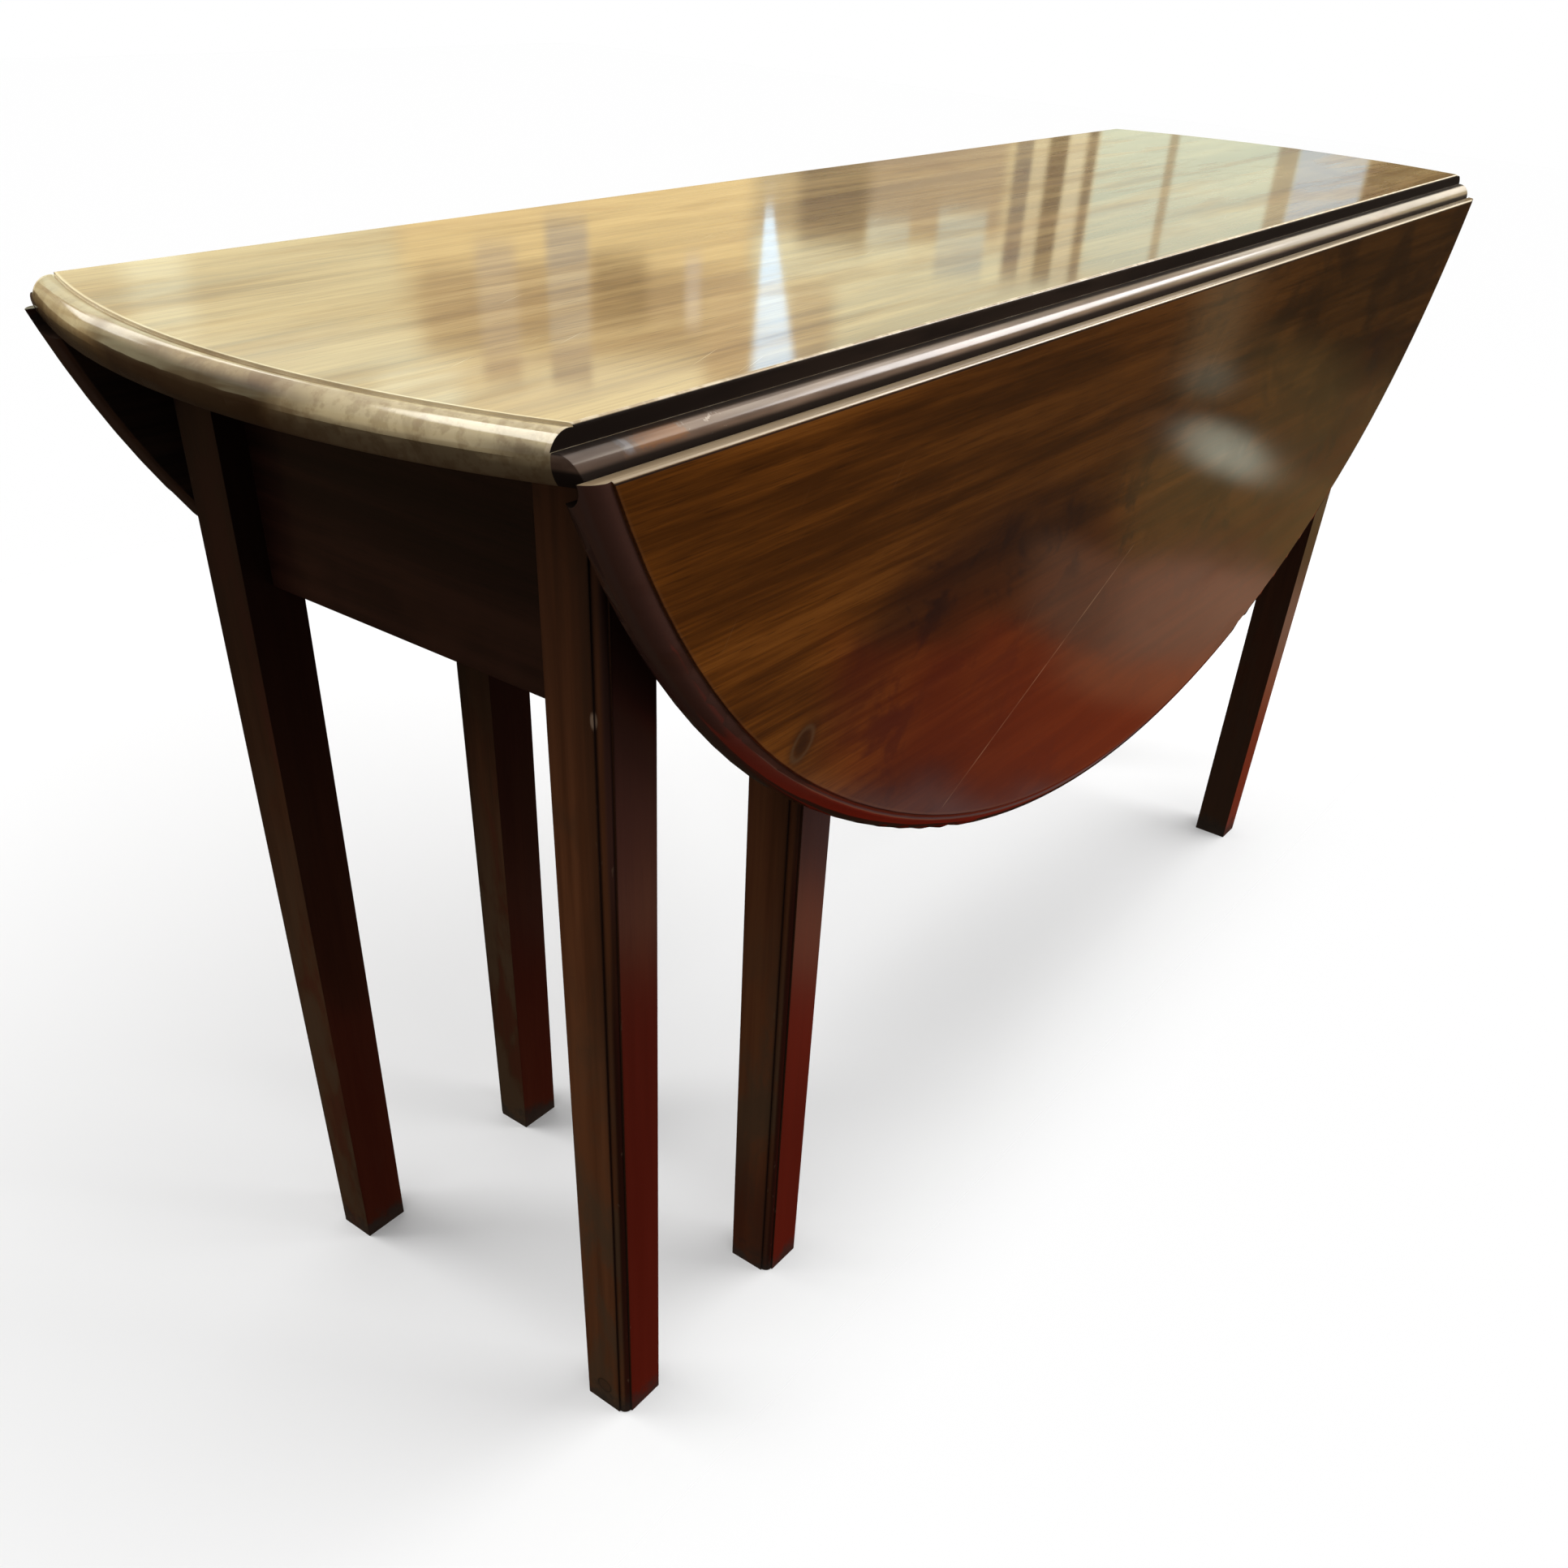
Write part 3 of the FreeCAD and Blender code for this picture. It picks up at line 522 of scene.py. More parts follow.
# The moulded edge of the leaves
LEAF_EDGE_BROWN = (0.0600, 0.0270, 0.0210)
LEAF_EDGE_RED_AND_REFLECTION = (0.0300, 0.0036, 0.0022)
LEAF_EDGE_RED_Z = (TOP_Z - 0.135, TOP_Z - 0.275)
LEAF_EDGE_SHADED = (0.0100, 0.0050, 0.0038)
LEAF_EDGE_SHADED_X = (NEAR_END + 0.385, NEAR_END + 0.235)
LEAF_EDGE_RIBBON = (0.0380, 0.0135, 0.0085)
LEAF_EDGE_LINE = (0.140, 0.0560, 0.0180)
LEAF_RIM_PAINTED_HIGHLIGHT = (0.0620, 0.0400, 0.0340)
LEAF_RIM_Z = (TOP_Z - 0.235, TOP_Z - 0.135)


def leaf_edge(f, x, z, wood, side, colour):
    """Dark moulding that follows the two arcs of the oval, red at the foot, partly as a painted
    reflection, with a rubbed inner line and a painted highlight along its outer rim.
    """
    out = HINGE_Z + HINGE_Y - z
    along = abs(x) - END_CENTRE
    from_end = (along * along + out * out).root() - END_RADIUS
    beyond = out + SIDE_CENTRE
    from_side = (x * x + beyond * beyond).root() - SIDE_RADIUS
    on_end = (along * math.sin(OVAL_TURN) - out * math.cos(OVAL_TURN)).rise(-MM, MM)
    edge = from_side + (from_end - from_side) * on_end + EDGE_WIDTH
    # Red towards the foot: partly red wood, partly a painted reflection of a red floor.
    edge_colour = f.blend(z.rise(*LEAF_EDGE_RED_Z), LEAF_EDGE_BROWN, LEAF_EDGE_RED_AND_REFLECTION)
    if side > 0.0:
        edge_colour = f.blend(x.rise(*LEAF_EDGE_SHADED_X) * 0.85, edge_colour, LEAF_EDGE_SHADED)
    edge_colour = f.blend(wood.ribbon.rise(0.45, 0.65) * 0.4, edge_colour, LEAF_EDGE_RIBBON)
    colour = f.blend(edge.rise(-0.6 * MM, 0.8 * MM) * 0.95, colour, edge_colour)
    colour = f.blend(edge.near(-1.0 * MM, 1.3 * MM) * 0.3, colour, LEAF_EDGE_LINE)
    # A painted highlight along the outer rim of the moulding, on its upper part.
    rim = edge.near(EDGE_WIDTH - 1.0 * MM, 1.6 * MM) * z.rise(*LEAF_RIM_Z)
    return f.blend(rim * 0.5, colour, LEAF_RIM_PAINTED_HIGHLIGHT)


# The legs, with heights above the floor
FACING_OUT = (-0.5, -0.8)
SIDE_BLEND = 0.05
LEG_BANDS = 22.0
LEG_WOOD = ((0.0240, 0.0074, 0.0028), (0.0440, 0.0146, 0.0056), (0.0660, 0.0240, 0.0094))
LEG_WORN_BROWN = ((0.085, 0.0270, 0.0090), (0.150, 0.0520, 0.0185))
LEG_WORN_LESS_X = (0.0, 0.4)
LEG_RUBBED = (0.050, 0.0270, 0.0140)
LEG_DUST = (0.066, 0.0430, 0.0240)
LEG_DUST_Z = (0.42, 0.20)
LEG_RUDDY = (0.060, 0.0130, 0.0070)
GATE_FOOT_RED_AND_REFLECTION = (0.040, 0.0046, 0.0028)
GATE_FOOT_RED_Z = (0.17, 0.06)
LEG_RED_AND_REFLECTION = ((0.018, 0.0034, 0.0018), (0.036, 0.0060, 0.0030))
LEG_RED_Z = (0.46, 0.36)
LEG_GREY_BROWN = (0.062, 0.0235, 0.0185)
LEG_GREY_BROWN_Z = (0.42, 0.52)
LEG_FAR_PAINTED_SHADE = (0.0180, 0.0048, 0.0036)
LEG_FAR_SHADE_X = (0.2, 0.4)
LEG_TOP_PAINTED_SHADE = (0.0060, 0.0024, 0.0015)
LEG_TOP_SHADE_Z = (0.46, 0.67)
LEG_CORNER_PAINTED_SHADE = (0.0070, 0.0034, 0.0022)
LEG_CORNER_SHADE_Z = (0.20, 0.50)
LEG_INNER_PAINTED_SHADE = (0.0060, 0.0022, 0.0014)
LEG_QUIRK_PAINTED_SHADE = (0.0050, 0.0026, 0.0019)
LEG_BEAD_NICK = (0.120, 0.085, 0.055)
LEG_BEAD = (10.0 * MM, 8.0 * MM)
FOOT_SCUFF = ((0.0100, 0.0075, 0.0058), (0.0500, 0.0420, 0.0340))
FOOT_SCUFF_Z = (0.022, 0.002)
LEG_RELIEF = 0.35 * MM


def leg_finish(name, corner_x, corner_y, mirrored):
    """Dark worn leg with painted shade near its top, towards its moulded outer corner, in its quirks and
    on faces turned in under the table, red near the foot partly as a painted reflection, and a scuffed
    foot.

    The corner is the near front leg's own. Mirrored legs stand at both ends of the table."""
    material, f = new_finish(name)
    vector, x, y, z = f.place()
    nx, ny, _ = f.facing()
    near_face = nx.rise(*FACING_OUT)
    front_face = ny.rise(*FACING_OUT)
    front = y.rise(0.0, -SIDE_BLEND)
    rear = y.rise(0.0, SIDE_BLEND)
    end_face = front * near_face
    inward = (abs(x) * -1.0 if mirrored else x) - corner_x
    aside = -corner_y - abs(y)
    wood = Timber(f, vector, "z", LEG_BANDS)
    colour = wood.colour(*LEG_WOOD)
    worn = end_face * (0.8 - x.rise(*LEG_WORN_LESS_X) * 0.3)
    colour = f.blend(worn, colour, wood.streaked(*LEG_WORN_BROWN))
    rub = f.noise(vector, (26.0, 26.0, 9.0), 4.0, 0.65, 0.4)
    colour = f.blend(rub.rise(0.50, 0.66) * 0.4, colour, LEG_RUBBED)
    dusty = near_face * z.rise(*LEG_DUST_Z) * rub.rise(0.40, 0.56)
    colour = f.blend(dusty * 0.65, colour, LEG_DUST)
    ruddy = near_face * rear * rub.rise(0.47, 0.40)
    colour = f.blend(ruddy * 0.6, colour, LEG_RUDDY)
    # Red low on the gate legs' end faces and the front legs' outer sides: partly red wood, partly a
    # painted reflection of a red floor.
    if not mirrored:
        colour = f.blend(end_face * z.rise(*GATE_FOOT_RED_Z) * 0.6, colour, GATE_FOOT_RED_AND_REFLECTION)
    outer_side = front_face * front
    colour = f.blend(outer_side * z.rise(*LEG_RED_Z), colour, wood.streaked(*LEG_RED_AND_REFLECTION))
    colour = f.blend(outer_side * z.rise(*LEG_GREY_BROWN_Z) * 0.7, colour, LEG_GREY_BROWN)
    # Painted shade on the near faces of the far legs, which face in under the table.
    colour = f.blend(near_face * x.rise(*LEG_FAR_SHADE_X) * 0.6, colour, LEG_FAR_PAINTED_SHADE)
    # Painted shade under the top: darker towards the top of the leg, starting lower down on the rear
    # legs.
    high = (z + rear * 0.10).rise(*LEG_TOP_SHADE_Z) * (1.0 - end_face * 0.35)
    colour = f.blend(high * 0.65, colour, LEG_TOP_PAINTED_SHADE)
    # Painted shade towards the moulded outer corner, stronger higher up the leg.
    toward_corner = aside.rise(22.0 * MM, LEG_NOTCH) * inward.rise(2.0 * MM, 0.5 * MM)
    colour = f.blend(toward_corner * z.rise(*LEG_CORNER_SHADE_Z) * 0.5, colour, LEG_CORNER_PAINTED_SHADE)
    # Painted shade on the front-facing sides of the rear legs, turned in under the table.
    inner_shade = rear * front_face
    colour = f.blend(inner_shade * 0.6, colour, LEG_INNER_PAINTED_SHADE)

    # Painted shade in the two quirks beside the bead.
    side_quirk = aside.near(LEG_NOTCH, 1.6 * MM) * inward.rise(2.6 * MM, 2.0 * MM)
    end_quirk = inward.near(LEG_NOTCH, 1.6 * MM) * aside.rise(2.6 * MM, 2.0 * MM)
    colour = f.blend(side_quirk.most(end_quirk) * 0.6, colour, LEG_QUIRK_PAINTED_SHADE)
    nicks = f.noise(vector, (170.0, 170.0, 60.0), 2.0, 0.6).rise(0.68, 0.76)
    bead_nicks = nicks * (aside.rise(*LEG_BEAD) * inward.rise(*LEG_BEAD))
    colour = f.blend(bead_nicks * 0.5, colour, LEG_BEAD_NICK)
    colour = leg_marks(f, x, y, z, aside, end_face, colour)

    scuff = f.even_noise(vector, 60.0, 3.0, 0.65)
    foot = (z + (scuff - 0.5) * 0.06).rise(*FOOT_SCUFF_Z)
    colour = f.blend(foot * 0.75, colour, f.blend(scuff, *FOOT_SCUFF))
    wave = f.noise(vector, (20.0, 20.0, 6.0), 1.0, 0.4) * 0.6
    roughness = 0.38 + wood.streak * 0.12 + foot * 0.3
    coat = 0.9 - foot * 0.6 - inner_shade * 0.55 - high * 0.2
    polish(f, colour, roughness, coat, wood.relief(wave) - bead_nicks * 0.5, LEG_RELIEF, WORN_POLISH)
    return material


# Marks on the near front leg
NEAR_LEG_X = (-0.50, -0.55)
NICK_ASIDE = 7.5 * MM
NICK_Z = 0.578
PALE_NICK = (0.300, 0.215, 0.150)
PLUG_Y = -0.145
PLUG_Z = 0.021
PLUG_FACE = (0.0300, 0.0180, 0.0120)
PLUG_RING = (0.0060, 0.0036, 0.0028)


def leg_marks(f, x, y, z, aside, end_face, colour):
    """A pale nick on the corner of the leg, and a plugged hole in its foot."""
    near_front = end_face * x.rise(*NEAR_LEG_X)
    nick_y = aside - NICK_ASIDE
    nick_z = (z - NICK_Z) * 0.4
    nick = (nick_y * nick_y + nick_z * nick_z).root()
    colour = f.blend(near_front * nick.rise(2.4 * MM, 1.0 * MM) * 0.8, colour, PALE_NICK)
    plug_y = y - PLUG_Y
    plug_z = z - PLUG_Z
    plug = (plug_y * plug_y + plug_z * plug_z).root()
    colour = f.blend(near_front * plug.rise(6.6 * MM, 5.4 * MM) * 0.4, colour, PLUG_FACE)
    return f.blend(near_front * plug.near(6.4 * MM, 1.2 * MM) * 0.8, colour, PLUG_RING)


# Aprons, rails, irons and screws
APRON_WOOD = ((0.0095, 0.0030, 0.0017), (0.0200, 0.0062, 0.0036), (0.0340, 0.0115, 0.0064))
APRON_BANDS = 16.0
APRON_RUBBED = (0.0420, 0.0145, 0.0078)
APRON_RUBBED_Z = (0.62, 0.58)
APRON_RELIEF = 0.3 * MM
RAIL_WOOD = ((0.030, 0.0150, 0.0075), (0.062, 0.0330, 0.0165), (0.105, 0.0600, 0.0310))
RAIL_BANDS = 14.0
RAIL_DUST = (0.085, 0.0680, 0.0500)
RAIL_RELIEF = 0.5 * MM
IRON = (0.055, 0.050, 0.046)
IRON_BLOOM = (0.085, 0.040, 0.020)
IRON_RELIEF = 0.4 * MM
STEEL = (0.240, 0.220, 0.200)
STEEL_TARNISH = (0.110, 0.085, 0.065)
STEEL_RELIEF = 0.2 * MM


def apron_finish():
    """Nearly black-brown end aprons, rubbed along the lower edge."""
    material, f = new_finish("apron_dark_mahogany")
    vector, _, _, z = f.place()
    wood = Timber(f, vector, "y", APRON_BANDS)
    rub = f.even_noise(vector, 14.0, 3.0, 0.6)
    lower_edge = z.rise(*APRON_RUBBED_Z) * rub.rise(0.4, 0.65)
    colour = f.blend(lower_edge * 0.5, wood.colour(*APRON_WOOD), APRON_RUBBED)
    wave = f.noise(vector, (10.0, 5.0, 10.0), 1.0, 0.4) * 0.6
    polish(f, colour, 0.42 + wood.streak * 0.12, 0.55, wood.relief(wave), APRON_RELIEF, WORN_POLISH)
    return material


def rail_finish():
    """Unpolished, dusty rails and blocks behind the legs."""
    material, f = new_finish("rail_bare_timber")
    vector = f.place()[0]
    wood = Timber(f, vector, "x", RAIL_BANDS)
    dust = f.even_noise(vector, 12.0, 4.0, 0.6)
    colour = f.blend(dust.rise(0.5, 0.75) * 0.4, wood.colour(*RAIL_WOOD), RAIL_DUST)
    polish(f, colour, 0.68 + dust * 0.2, 0.0, wood.relief(dust * 0.5), RAIL_RELIEF, BARE_WOOD)
    return material


def iron_finish():
    """Dark hinge iron with brown bloom."""
    material, f = new_finish("hinge_dark_iron")
    rust = f.even_noise(f.place()[0], 160.0, 4.0, 0.6)
    colour = f.blend(rust.rise(0.45, 0.68), IRON, IRON_BLOOM)
    polish(f, colour, 0.42 + rust * 0.4, 0.0, rust, IRON_RELIEF, DULL_IRON)
    return material


def screw_finish():
    """Dulled steel screws."""
    material, f = new_finish("screw_dull_steel")
    tarnish = f.even_noise(f.place()[0], 420.0, 3.0, 0.6)
    colour = f.blend(tarnish.rise(0.4, 0.7), STEEL, STEEL_TARNISH)
    polish(f, colour, 0.35 + tarnish * 0.35, 0.0, tarnish, STEEL_RELIEF, DULL_STEEL)
    return material


def dress_nodes():
    """Gives every piece of the table its finish, by its name or by how its name ends."""
    legs = leg_finish("leg_dark_mahogany", LEG_CORNER.x, LEG_CORNER.y, True)
    gate_legs = leg_finish("gate_leg_dark_mahogany", GATE_CORNER.x, GATE_CORNER.y, False)
    aprons = apron_finish()
    rails = rail_finish()
    iron = iron_finish()
    screws = screw_finish()
    by_name = {
        "top_board": top_finish(),
        "front_leaf": leaf_finish("front_leaf_mahogany", -1.0),
        "rear_leaf": leaf_finish("rear_leaf_mahogany", 1.0),
    }
    by_ending = [("_gate_leg", gate_legs), ("_leg", legs), ("_apron", aprons), ("_screws", screws)]
    by_ending += [("_flaps", iron), ("_pin", iron), ("_pins", iron), ("_rail", rails), ("_blocks", rails)]
    for name, piece in frame["nodes"].items():
        finish = by_name.get(name)
        if finish is None:
            finish = next(material for ending, material in by_ending if name.endswith(ending))
        piece.data.materials.clear()
        piece.data.materials.append(finish)


# The floor
FLOOR_REACH = 9.0
FLOOR_GREY = (0.86, 0.86, 0.86, 1.0)
FLOOR_FADE_RING = (0.9, 2.1)
FLOOR_FADE_FRONT_Y = (-0.06, -0.34)
FLOOR_FADE = 0.985


def lay_floor():
    """Pale floor that fades into the white of the studio, soonest in front of the table."""
    mesh = bpy.data.meshes.new("floor")
    signs = [(-1, -1), (1, -1), (1, 1), (-1, 1)]
    corners = [(FLOOR_REACH * x_sign, FLOOR_REACH * y_sign, 0.0) for x_sign, y_sign in signs]
    mesh.from_pydata(corners, [], [(0, 1, 2, 3)])
    floor = bpy.data.objects.new("floor", mesh)
    bpy.context.scene.collection.objects.link(floor)
    material, f = new_finish("floor_white")
    _, x, y, _ = f.place()
    away = (x * x + y * y).root()
    fade = away.rise(*FLOOR_FADE_RING).most(y.rise(*FLOOR_FADE_FRONT_Y)) * FLOOR_FADE
    surface = f.node("ShaderNodeBsdfDiffuse", {}, {"Color": FLOOR_GREY})
    clear = f.node("ShaderNodeBsdfTransparent")
    faded = f.node("ShaderNodeMixShader", {}, {0: fade, 1: surface, 2: clear})
    f.node("ShaderNodeOutputMaterial", {}, {"Surface": faded})
    mesh.materials.append(material)
    floor.visible_glossy = False
    floor.visible_diffuse = False


def hang_light(name, place, target, size, strength):
    """A white soft box that the camera doesn't see, given its brightness as a plain number."""
    lamp = bpy.data.lights.new(name, "AREA")
    lamp.shape = "RECTANGLE"
    lamp.size, lamp.size_y = size
    lamp.energy = strength * math.pi * size[0] * size[1]
    holder = bpy.data.objects.new(name, lamp)
    bpy.context.scene.collection.objects.link(holder)
    holder.location = place
    holder.rotation_euler = (Vector(target) - Vector(place)).to_track_quat("-Z", "Y").to_euler()
    holder.visible_camera = False
    holder.visible_glossy = False


# The surroundings that polished surfaces mirror. Turns run from +X towards +Y and lifts up, in degrees.
# A panel has two turns, two lifts, a colour and the softness of its edge, and lies over those before it.
WARM_TONES = ((0.55, 0.42, 0.22), (1.20, 1.08, 0.66))
PLAIN_TONES = ((0.20, 0.18, 0.16), (0.80, 0.78, 0.75))
PLAIN_FROM = (100.0, 120.0)
WARM_CENTRE = 55.0
OVERHEAD = (0.95, 0.92, 0.85)
OVERHEAD_LIFT = (16.0, 40.0)
SIDE_PANELS = [
    ((78.0, 160.0), (54.0, 70.0), (10.0, 9.9, 9.2), 3.0),
    ((58.0, 92.0), (21.5, 28.0), (3.6, 3.5, 3.0), 2.0),
    ((79.0, 91.0), (16.5, 23.0), (3.4, 3.3, 2.9), 1.5),
    ((-75.0, -24.0), (-3.0, 42.0), (0.26, 0.19, 0.13), 2.0),
    ((-26.0, -15.0), (-3.0, 12.0), (0.40, 0.30, 0.22), 2.0),
    ((-14.0, 10.0), (12.5, 22.0), (2.0, 1.85, 1.5), 1.5),
    ((-24.0, 9.0), (33.0, 43.0), (3.9, 3.5, 3.0), 3.0),
    ((-22.0, -4.0), (21.0, 35.0), (7.8, 7.5, 7.3), 2.5),
    ((17.0, 27.0), (11.0, 20.0), (1.7, 1.6, 1.45), 1.0),
]
CREAM_AND_BROWN_PANELS = [
    ((50.0, 76.0), (3.0, 20.0), (0.98, 0.90, 0.55), 1.0),
    ((57.2, 59.2), (3.0, 20.0), (1.30, 1.30, 0.90), 0.6),
    ((49.5, 76.0), (12.4, 20.0), (1.30, 1.30, 0.90), 0.8),
    ((37.5, 50.0), (3.0, 10.4), (1.15, 0.88, 0.42), 0.5),
    ((37.5, 49.6), (13.2, 22.0), (1.55, 1.42, 0.90), 0.6),
    ((48.3, 51.3), (13.6, 20.0), (1.75, 1.80, 1.30), 0.6),
    ((39.2, 49.3), (10.3, 12.6), (0.42, 0.30, 0.17), 0.5),
    ((41.3, 43.3), (9.9, 12.0), (0.10, 0.06, 0.03), 0.4),
    ((46.0, 47.4), (9.6, 14.0), (0.62, 0.52, 0.38), 0.3),
    ((43.4, 44.9), (8.8, 14.0), (0.56, 0.52, 0.42), 0.2),
    ((39.3, 39.9), (9.8, 12.0), (0.85, 0.74, 0.60), 0.2),
    ((26.0, 37.5), (8.9, 18.0), (1.15, 1.14, 0.76), 0.4),
    ((37.4, 39.2), (10.2, 14.0), (0.66, 0.48, 0.27), 0.5),
    ((34.4, 36.2), (10.4, 14.0), (0.70, 0.60, 0.38), 0.5),
    ((28.7, 33.6), (2.0, 8.6), (0.46, 0.36, 0.24), 0.3),
    ((33.4, 35.9), (6.6, 9.2), (0.12, 0.09, 0.06), 0.4),
    ((31.9, 33.4), (8.3, 9.1), (0.72, 0.80, 0.66), 0.15),
    ((29.2, 30.9), (7.9, 9.9), (0.72, 0.80, 0.66), 0.15),
]
STRIPE_ENDS = [28.50, 27.85, 27.40, 26.68, 26.12, 25.72]
STRIPE_LIFTS = (2.0, 9.8)
STRIPE_SOFTNESS = 0.15
STRIPE_TONES = [
    (0.20, 0.18, 0.15),
    (0.78, 0.68, 0.43),
    (0.10, 0.07, 0.04),
    (0.84, 0.76, 0.50),
    (0.16, 0.12, 0.07),
]
GREY_GREEN_PANELS = [
    ((16.9, 25.7), (2.0, 9.4), (0.77, 0.88, 0.68), 0.12),
    ((23.1, 23.4), (2.0, 9.4), (0.42, 0.38, 0.24), 0.1),
    ((19.1, 19.8), (2.0, 9.4), (0.42, 0.38, 0.25), 0.12),
    ((16.9, 19.1), (2.0, 9.4), (0.56, 0.67, 0.72), 0.12),
    ((3.0, 16.9), (-3.0, 11.5), (0.10, 0.06, 0.02), 0.15),
]
WEDGE_FOOT = (36.8, 10.0)
WEDGE_POINT = 8.0
WEDGE_LIFTS = (8.3, 14.5)
WEDGE_WHITE = (1.45, 1.95, 2.3)
GROUND_NEAR = (0.024, 0.016, 0.010)
GROUND_BEHIND = (0.040, 0.022, 0.011)
GROUND_BEHIND_TURN = (90.0, 110.0)
GROUND_PANELS = [
    ((-60.0, -8.0), (-90.0, -35.5), (0.34, 0.024, 0.010), 1.2),
    ((-38.0, -26.0), (-40.5, -35.5), (0.56, 0.040, 0.015), 1.5),
    ((-48.0, -8.0), (-35.5, -32.5), (0.42, 0.20, 0.14), 1.0),
    ((-37.0, -26.0), (-36.0, -32.0), (0.80, 0.30, 0.17), 1.0),
    ((-34.0, -10.0), (-32.5, -27.8), (0.34, 0.22, 0.22), 0.8),
    ((-33.5, -25.0), (-27.8, -22.8), (0.36, 0.042, 0.013), 0.9),
    ((-27.5, -8.0), (-27.8, -21.4), (0.44, 0.056, 0.016), 0.9),
    ((-24.0, -8.0), (-23.4, -20.8), (0.62, 0.190, 0.085), 0.9),
    ((-25.5, -8.0), (-21.4, -18.4), (0.31, 0.18, 0.115), 0.9),
    ((-21.8, -8.0), (-21.4, -18.4), (0.60, 0.32, 0.20), 1.2),
    ((-22.5, -10.0), (-18.4, -14.5), (0.24, 0.16, 0.055), 0.9),
    ((-19.0, -8.0), (-14.8, -11.2), (0.17, 0.110, 0.042), 1.0),
]
UPRIGHT_PANEL = ((-21.3, -19.7), (-13.0, -7.0), (0.28, 0.24, 0.14), 0.5)
SMALL_GLOW = ((-20.4, -12.2), (1.2, 0.9), 0.0, (0.46, 0.45, 0.33))
LARGE_GLOW = ((-19.3, -14.6), (2.4, 1.2), 0.27, (1.40, 1.40, 1.08))


class Surroundings:
    """Soft light and dark all round the table, painted by direction."""

    def __init__(self, f):
        self.f = f
        self.direction = f.node("ShaderNodeTexCoord", out=0)
        dx, dy, dz = f.split(self.direction)
        self.turn = dy.maths("ARCTAN2", dx) * (180.0 / math.pi)
        self.lift = dz.maths("ARCSINE") * (180.0 / math.pi)
        self.colour = None

    def screen(self, turns, lifts, colour, soft):
        """A soft-edged panel between two turns and two lifts."""
        mask = self.turn.within(*turns, soft) * self.lift.within(*lifts, soft)
        self.colour = self.f.blend(mask, self.colour, colour)

    def screens(self, panels):
        for panel in panels:
            self.screen(*panel)

    def glow(self, centre, reach, tilt, colour):
        """A soft oval light, falling to the right by its tilt."""
        aside = (self.turn - centre[0]) / reach[0]
        above = (self.lift - centre[1] + (self.turn - centre[0]) * tilt) / reach[1]
        mask = (aside * aside + above * above).root().rise(1.0, 0.2)
        self.colour = self.f.blend(mask, self.colour, colour)

    def sides(self):
        """Warm upright bands, plain grey ones behind the camera, and a pale light overhead."""
        f = self.f
        bands = f.noise(self.direction, (7.0, 7.0, 0.8), 2.0, 0.5).rise(0.40, 0.62)
        broad_bands = f.noise(self.direction, (1.7, 1.7, 0.9), 1.0, 0.5).rise(0.38, 0.62)
        plain = f.blend(broad_bands, *PLAIN_TONES)
        warm = f.blend(bands, *WARM_TONES)
        all_round = f.blend(abs(self.turn - WARM_CENTRE).rise(*PLAIN_FROM), warm, plain)
        self.colour = f.blend(self.lift.rise(*OVERHEAD_LIFT), all_round, OVERHEAD)
        self.screens(SIDE_PANELS)

    def far_side(self):
        """Cream, brown and grey-green panels that the top mirrors, with stripes and a pale wedge."""
        self.screens(CREAM_AND_BROWN_PANELS)
        for start, end, tone in zip(STRIPE_ENDS, STRIPE_ENDS[1:], STRIPE_TONES):
            self.screen((end, start), STRIPE_LIFTS, tone, STRIPE_SOFTNESS)
        self.screens(GREY_GREEN_PANELS)
        turn, lift = self.turn, self.lift
        aside = abs(turn - WEDGE_FOOT[0] + (lift - WEDGE_FOOT[1]) * 0.08)
        half_width = (lift - WEDGE_POINT).most(0.0) * 0.16 + 0.12
        wedge = (aside / half_width).rise(1.1, 0.6) * lift.within(*WEDGE_LIFTS, 0.3)
        self.colour = self.f.blend(wedge, self.colour, WEDGE_WHITE)

    def ground(self):
        """Dark below, with rippled red and pale panels in front of the front leaf, and two glows."""
        f = self.f
        ripple = (f.even_noise(self.direction, 9.0, 3.0, 0.55) - 0.5) * 5.0
        upper = self.colour
        level = self.lift
        self.lift = level + ripple
        self.colour = f.blend(abs(self.turn).rise(*GROUND_BEHIND_TURN), GROUND_NEAR, GROUND_BEHIND)
        self.screens(GROUND_PANELS)
        self.lift = level + ripple * 0.15
        self.screen(*UPRIGHT_PANEL)
        self.glow(*SMALL_GLOW)
        self.glow(*LARGE_GLOW)
        self.lift = level
        self.colour = f.blend(level.rise(1.0, -1.0), upper, self.colour)


# The light on matt surfaces, from below and from above
FILL_BELOW = (0.10, 0.065, 0.050)
FILL_ABOVE = (0.77, 0.77, 0.77)
FILL_LIFT = (-20.0, 40.0)
STUDIO_WHITE = (1.0, 1.0, 1.0, 1.0)


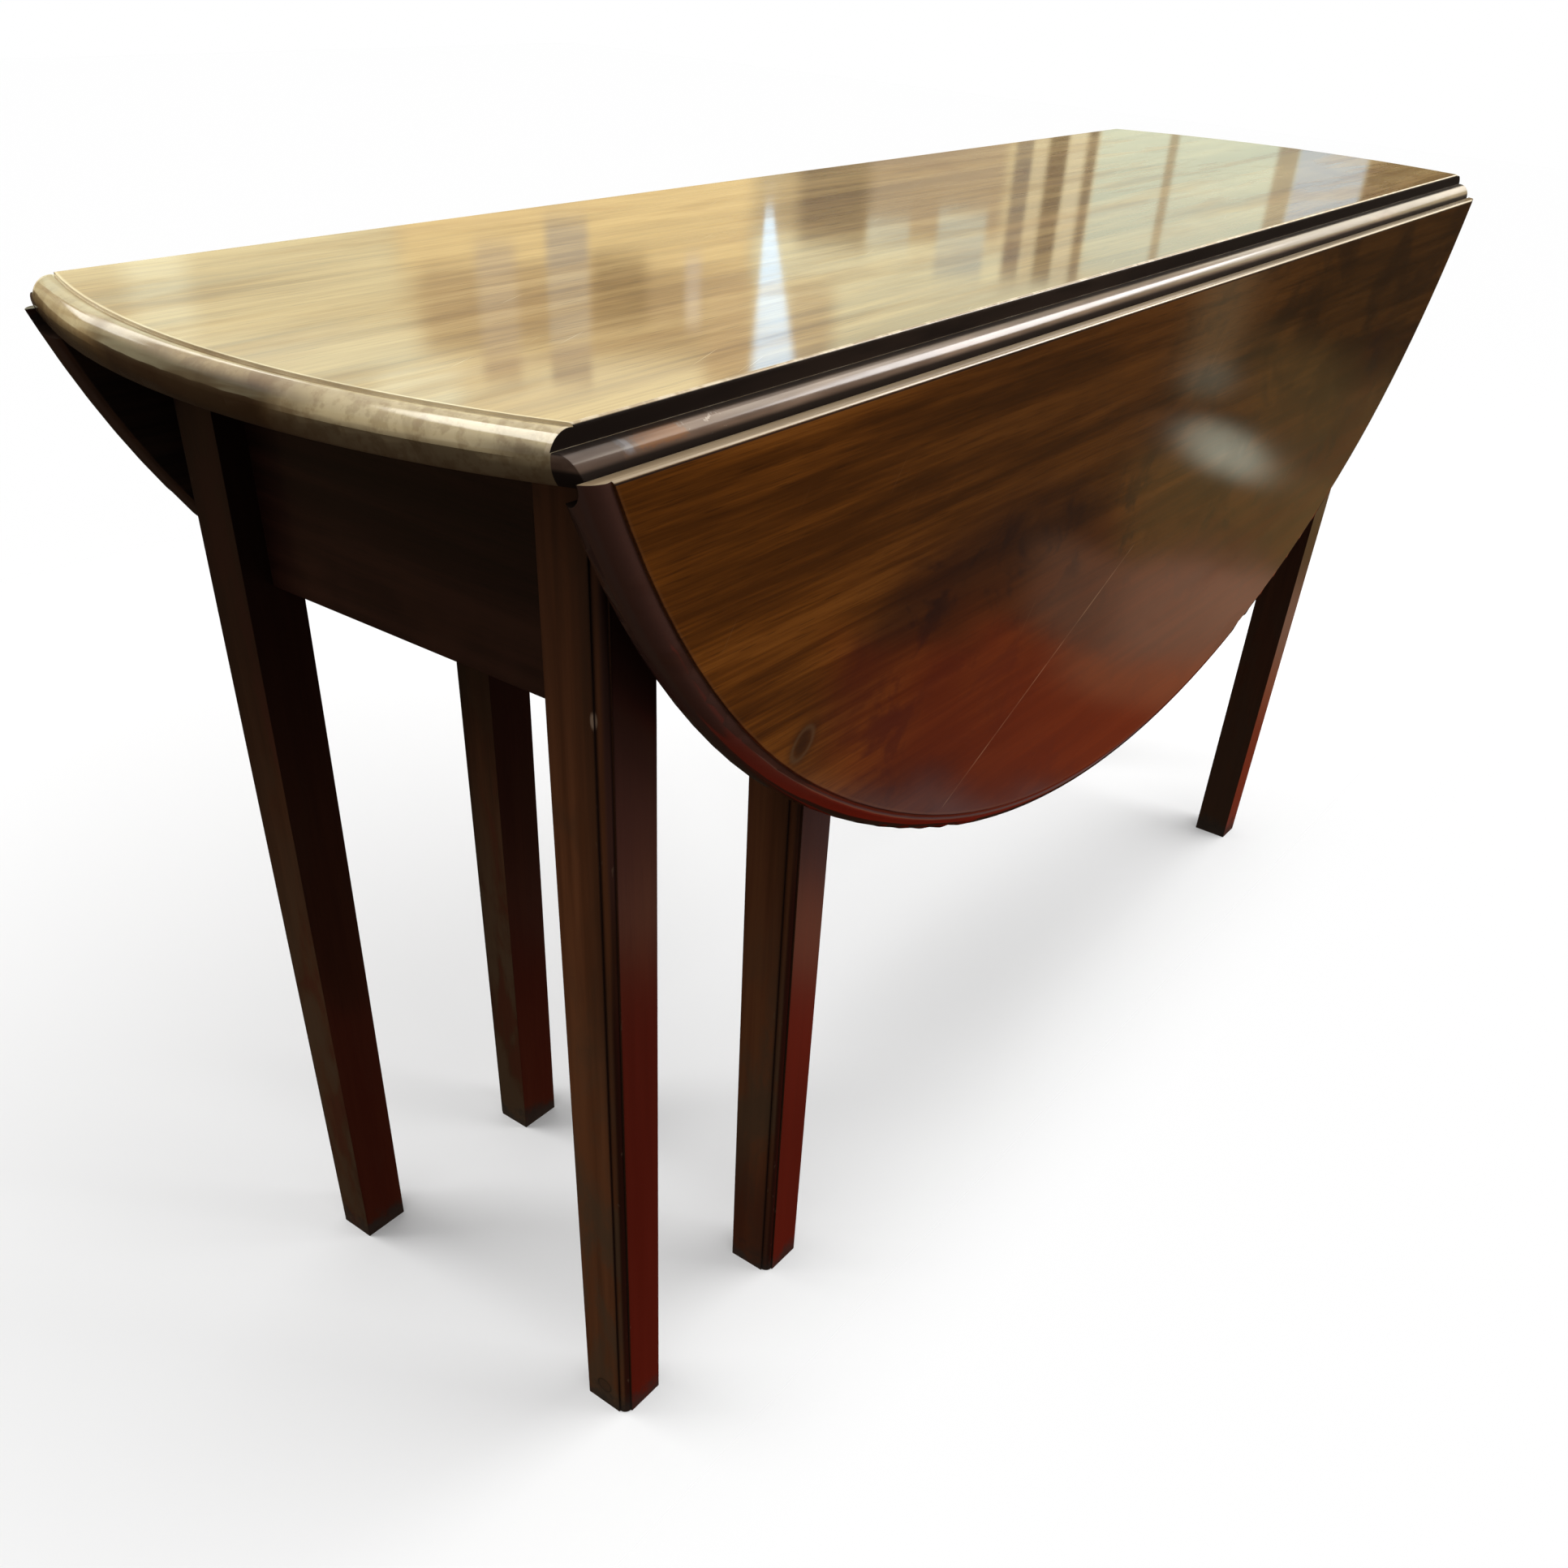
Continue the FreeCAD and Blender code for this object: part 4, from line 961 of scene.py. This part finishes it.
def light_studio():
    """White to the camera, an even fill for matt surfaces, and the surroundings for polished ones."""
    world = bpy.data.worlds.new("studio")
    bpy.context.scene.world = world
    world.use_nodes = True
    f = Finish(world.node_tree)
    around = Surroundings(f)
    around.sides()
    around.far_side()
    around.ground()
    fill = f.blend(around.lift.rise(*FILL_LIFT), FILL_BELOW, FILL_ABOVE)
    matt = f.node("ShaderNodeBackground", {}, {"Color": fill})
    mirrored = f.node("ShaderNodeBackground", {}, {"Color": around.colour})
    white = f.node("ShaderNodeBackground", {}, {"Color": STUDIO_WHITE})
    camera_ray = f.node("ShaderNodeLightPath", out=0)
    glossy_ray = f.node("ShaderNodeLightPath", out=3)
    lit = f.node("ShaderNodeMixShader", {}, {0: glossy_ray, 1: matt, 2: mirrored})
    shown = f.node("ShaderNodeMixShader", {}, {0: camera_ray, 1: lit, 2: white})
    f.node("ShaderNodeOutputWorld", {}, {"Surface": shown})
    hang_light("front_strip", (2.2, -1.6, 2.1), target=(0.2, -0.1, 0.7), size=(4.0, 0.45), strength=15.0)
    hang_light("back_left_box", (-1.3, 1.7, 2.7), target=(-0.5, 0.0, 0.7), size=(1.4, 1.0), strength=9.0)


# The camera, fitted to the photograph, with the lens and its sensor in millimetres
SENSOR_WIDTH = 36.0
FOCAL_LENGTH = 32.0
IMAGE_SIDE_PIXELS = 1932.0
SHIFT_PIXELS = 322.0
CAMERA_PLACE = (-1.0737, -0.6174, 0.9034)
CAMERA_RIGHT = (0.59876, -0.79928, 0.05138)
CAMERA_UP = (0.48113, 0.41023, 0.77474)
CAMERA_BACK = (-0.64031, -0.43916, 0.63019)
VIEW_REACH = 60.0


def set_camera():
    """The place and lens that the photograph was taken with."""
    lens = bpy.data.cameras.new("camera")
    lens.sensor_width = SENSOR_WIDTH
    lens.lens = FOCAL_LENGTH
    lens.shift_y = SHIFT_PIXELS / IMAGE_SIDE_PIXELS
    lens.clip_end = VIEW_REACH
    camera = bpy.data.objects.new("camera", lens)
    bpy.context.scene.collection.objects.link(camera)
    turned = Matrix((CAMERA_RIGHT, CAMERA_UP, CAMERA_BACK)).transposed().to_4x4()
    camera.matrix_world = Matrix.Translation(CAMERA_PLACE) @ turned
    bpy.context.scene.camera = camera


dress_nodes()
lay_floor()
light_studio()
set_camera()
bpy.context.scene.view_settings.view_transform = "Standard"
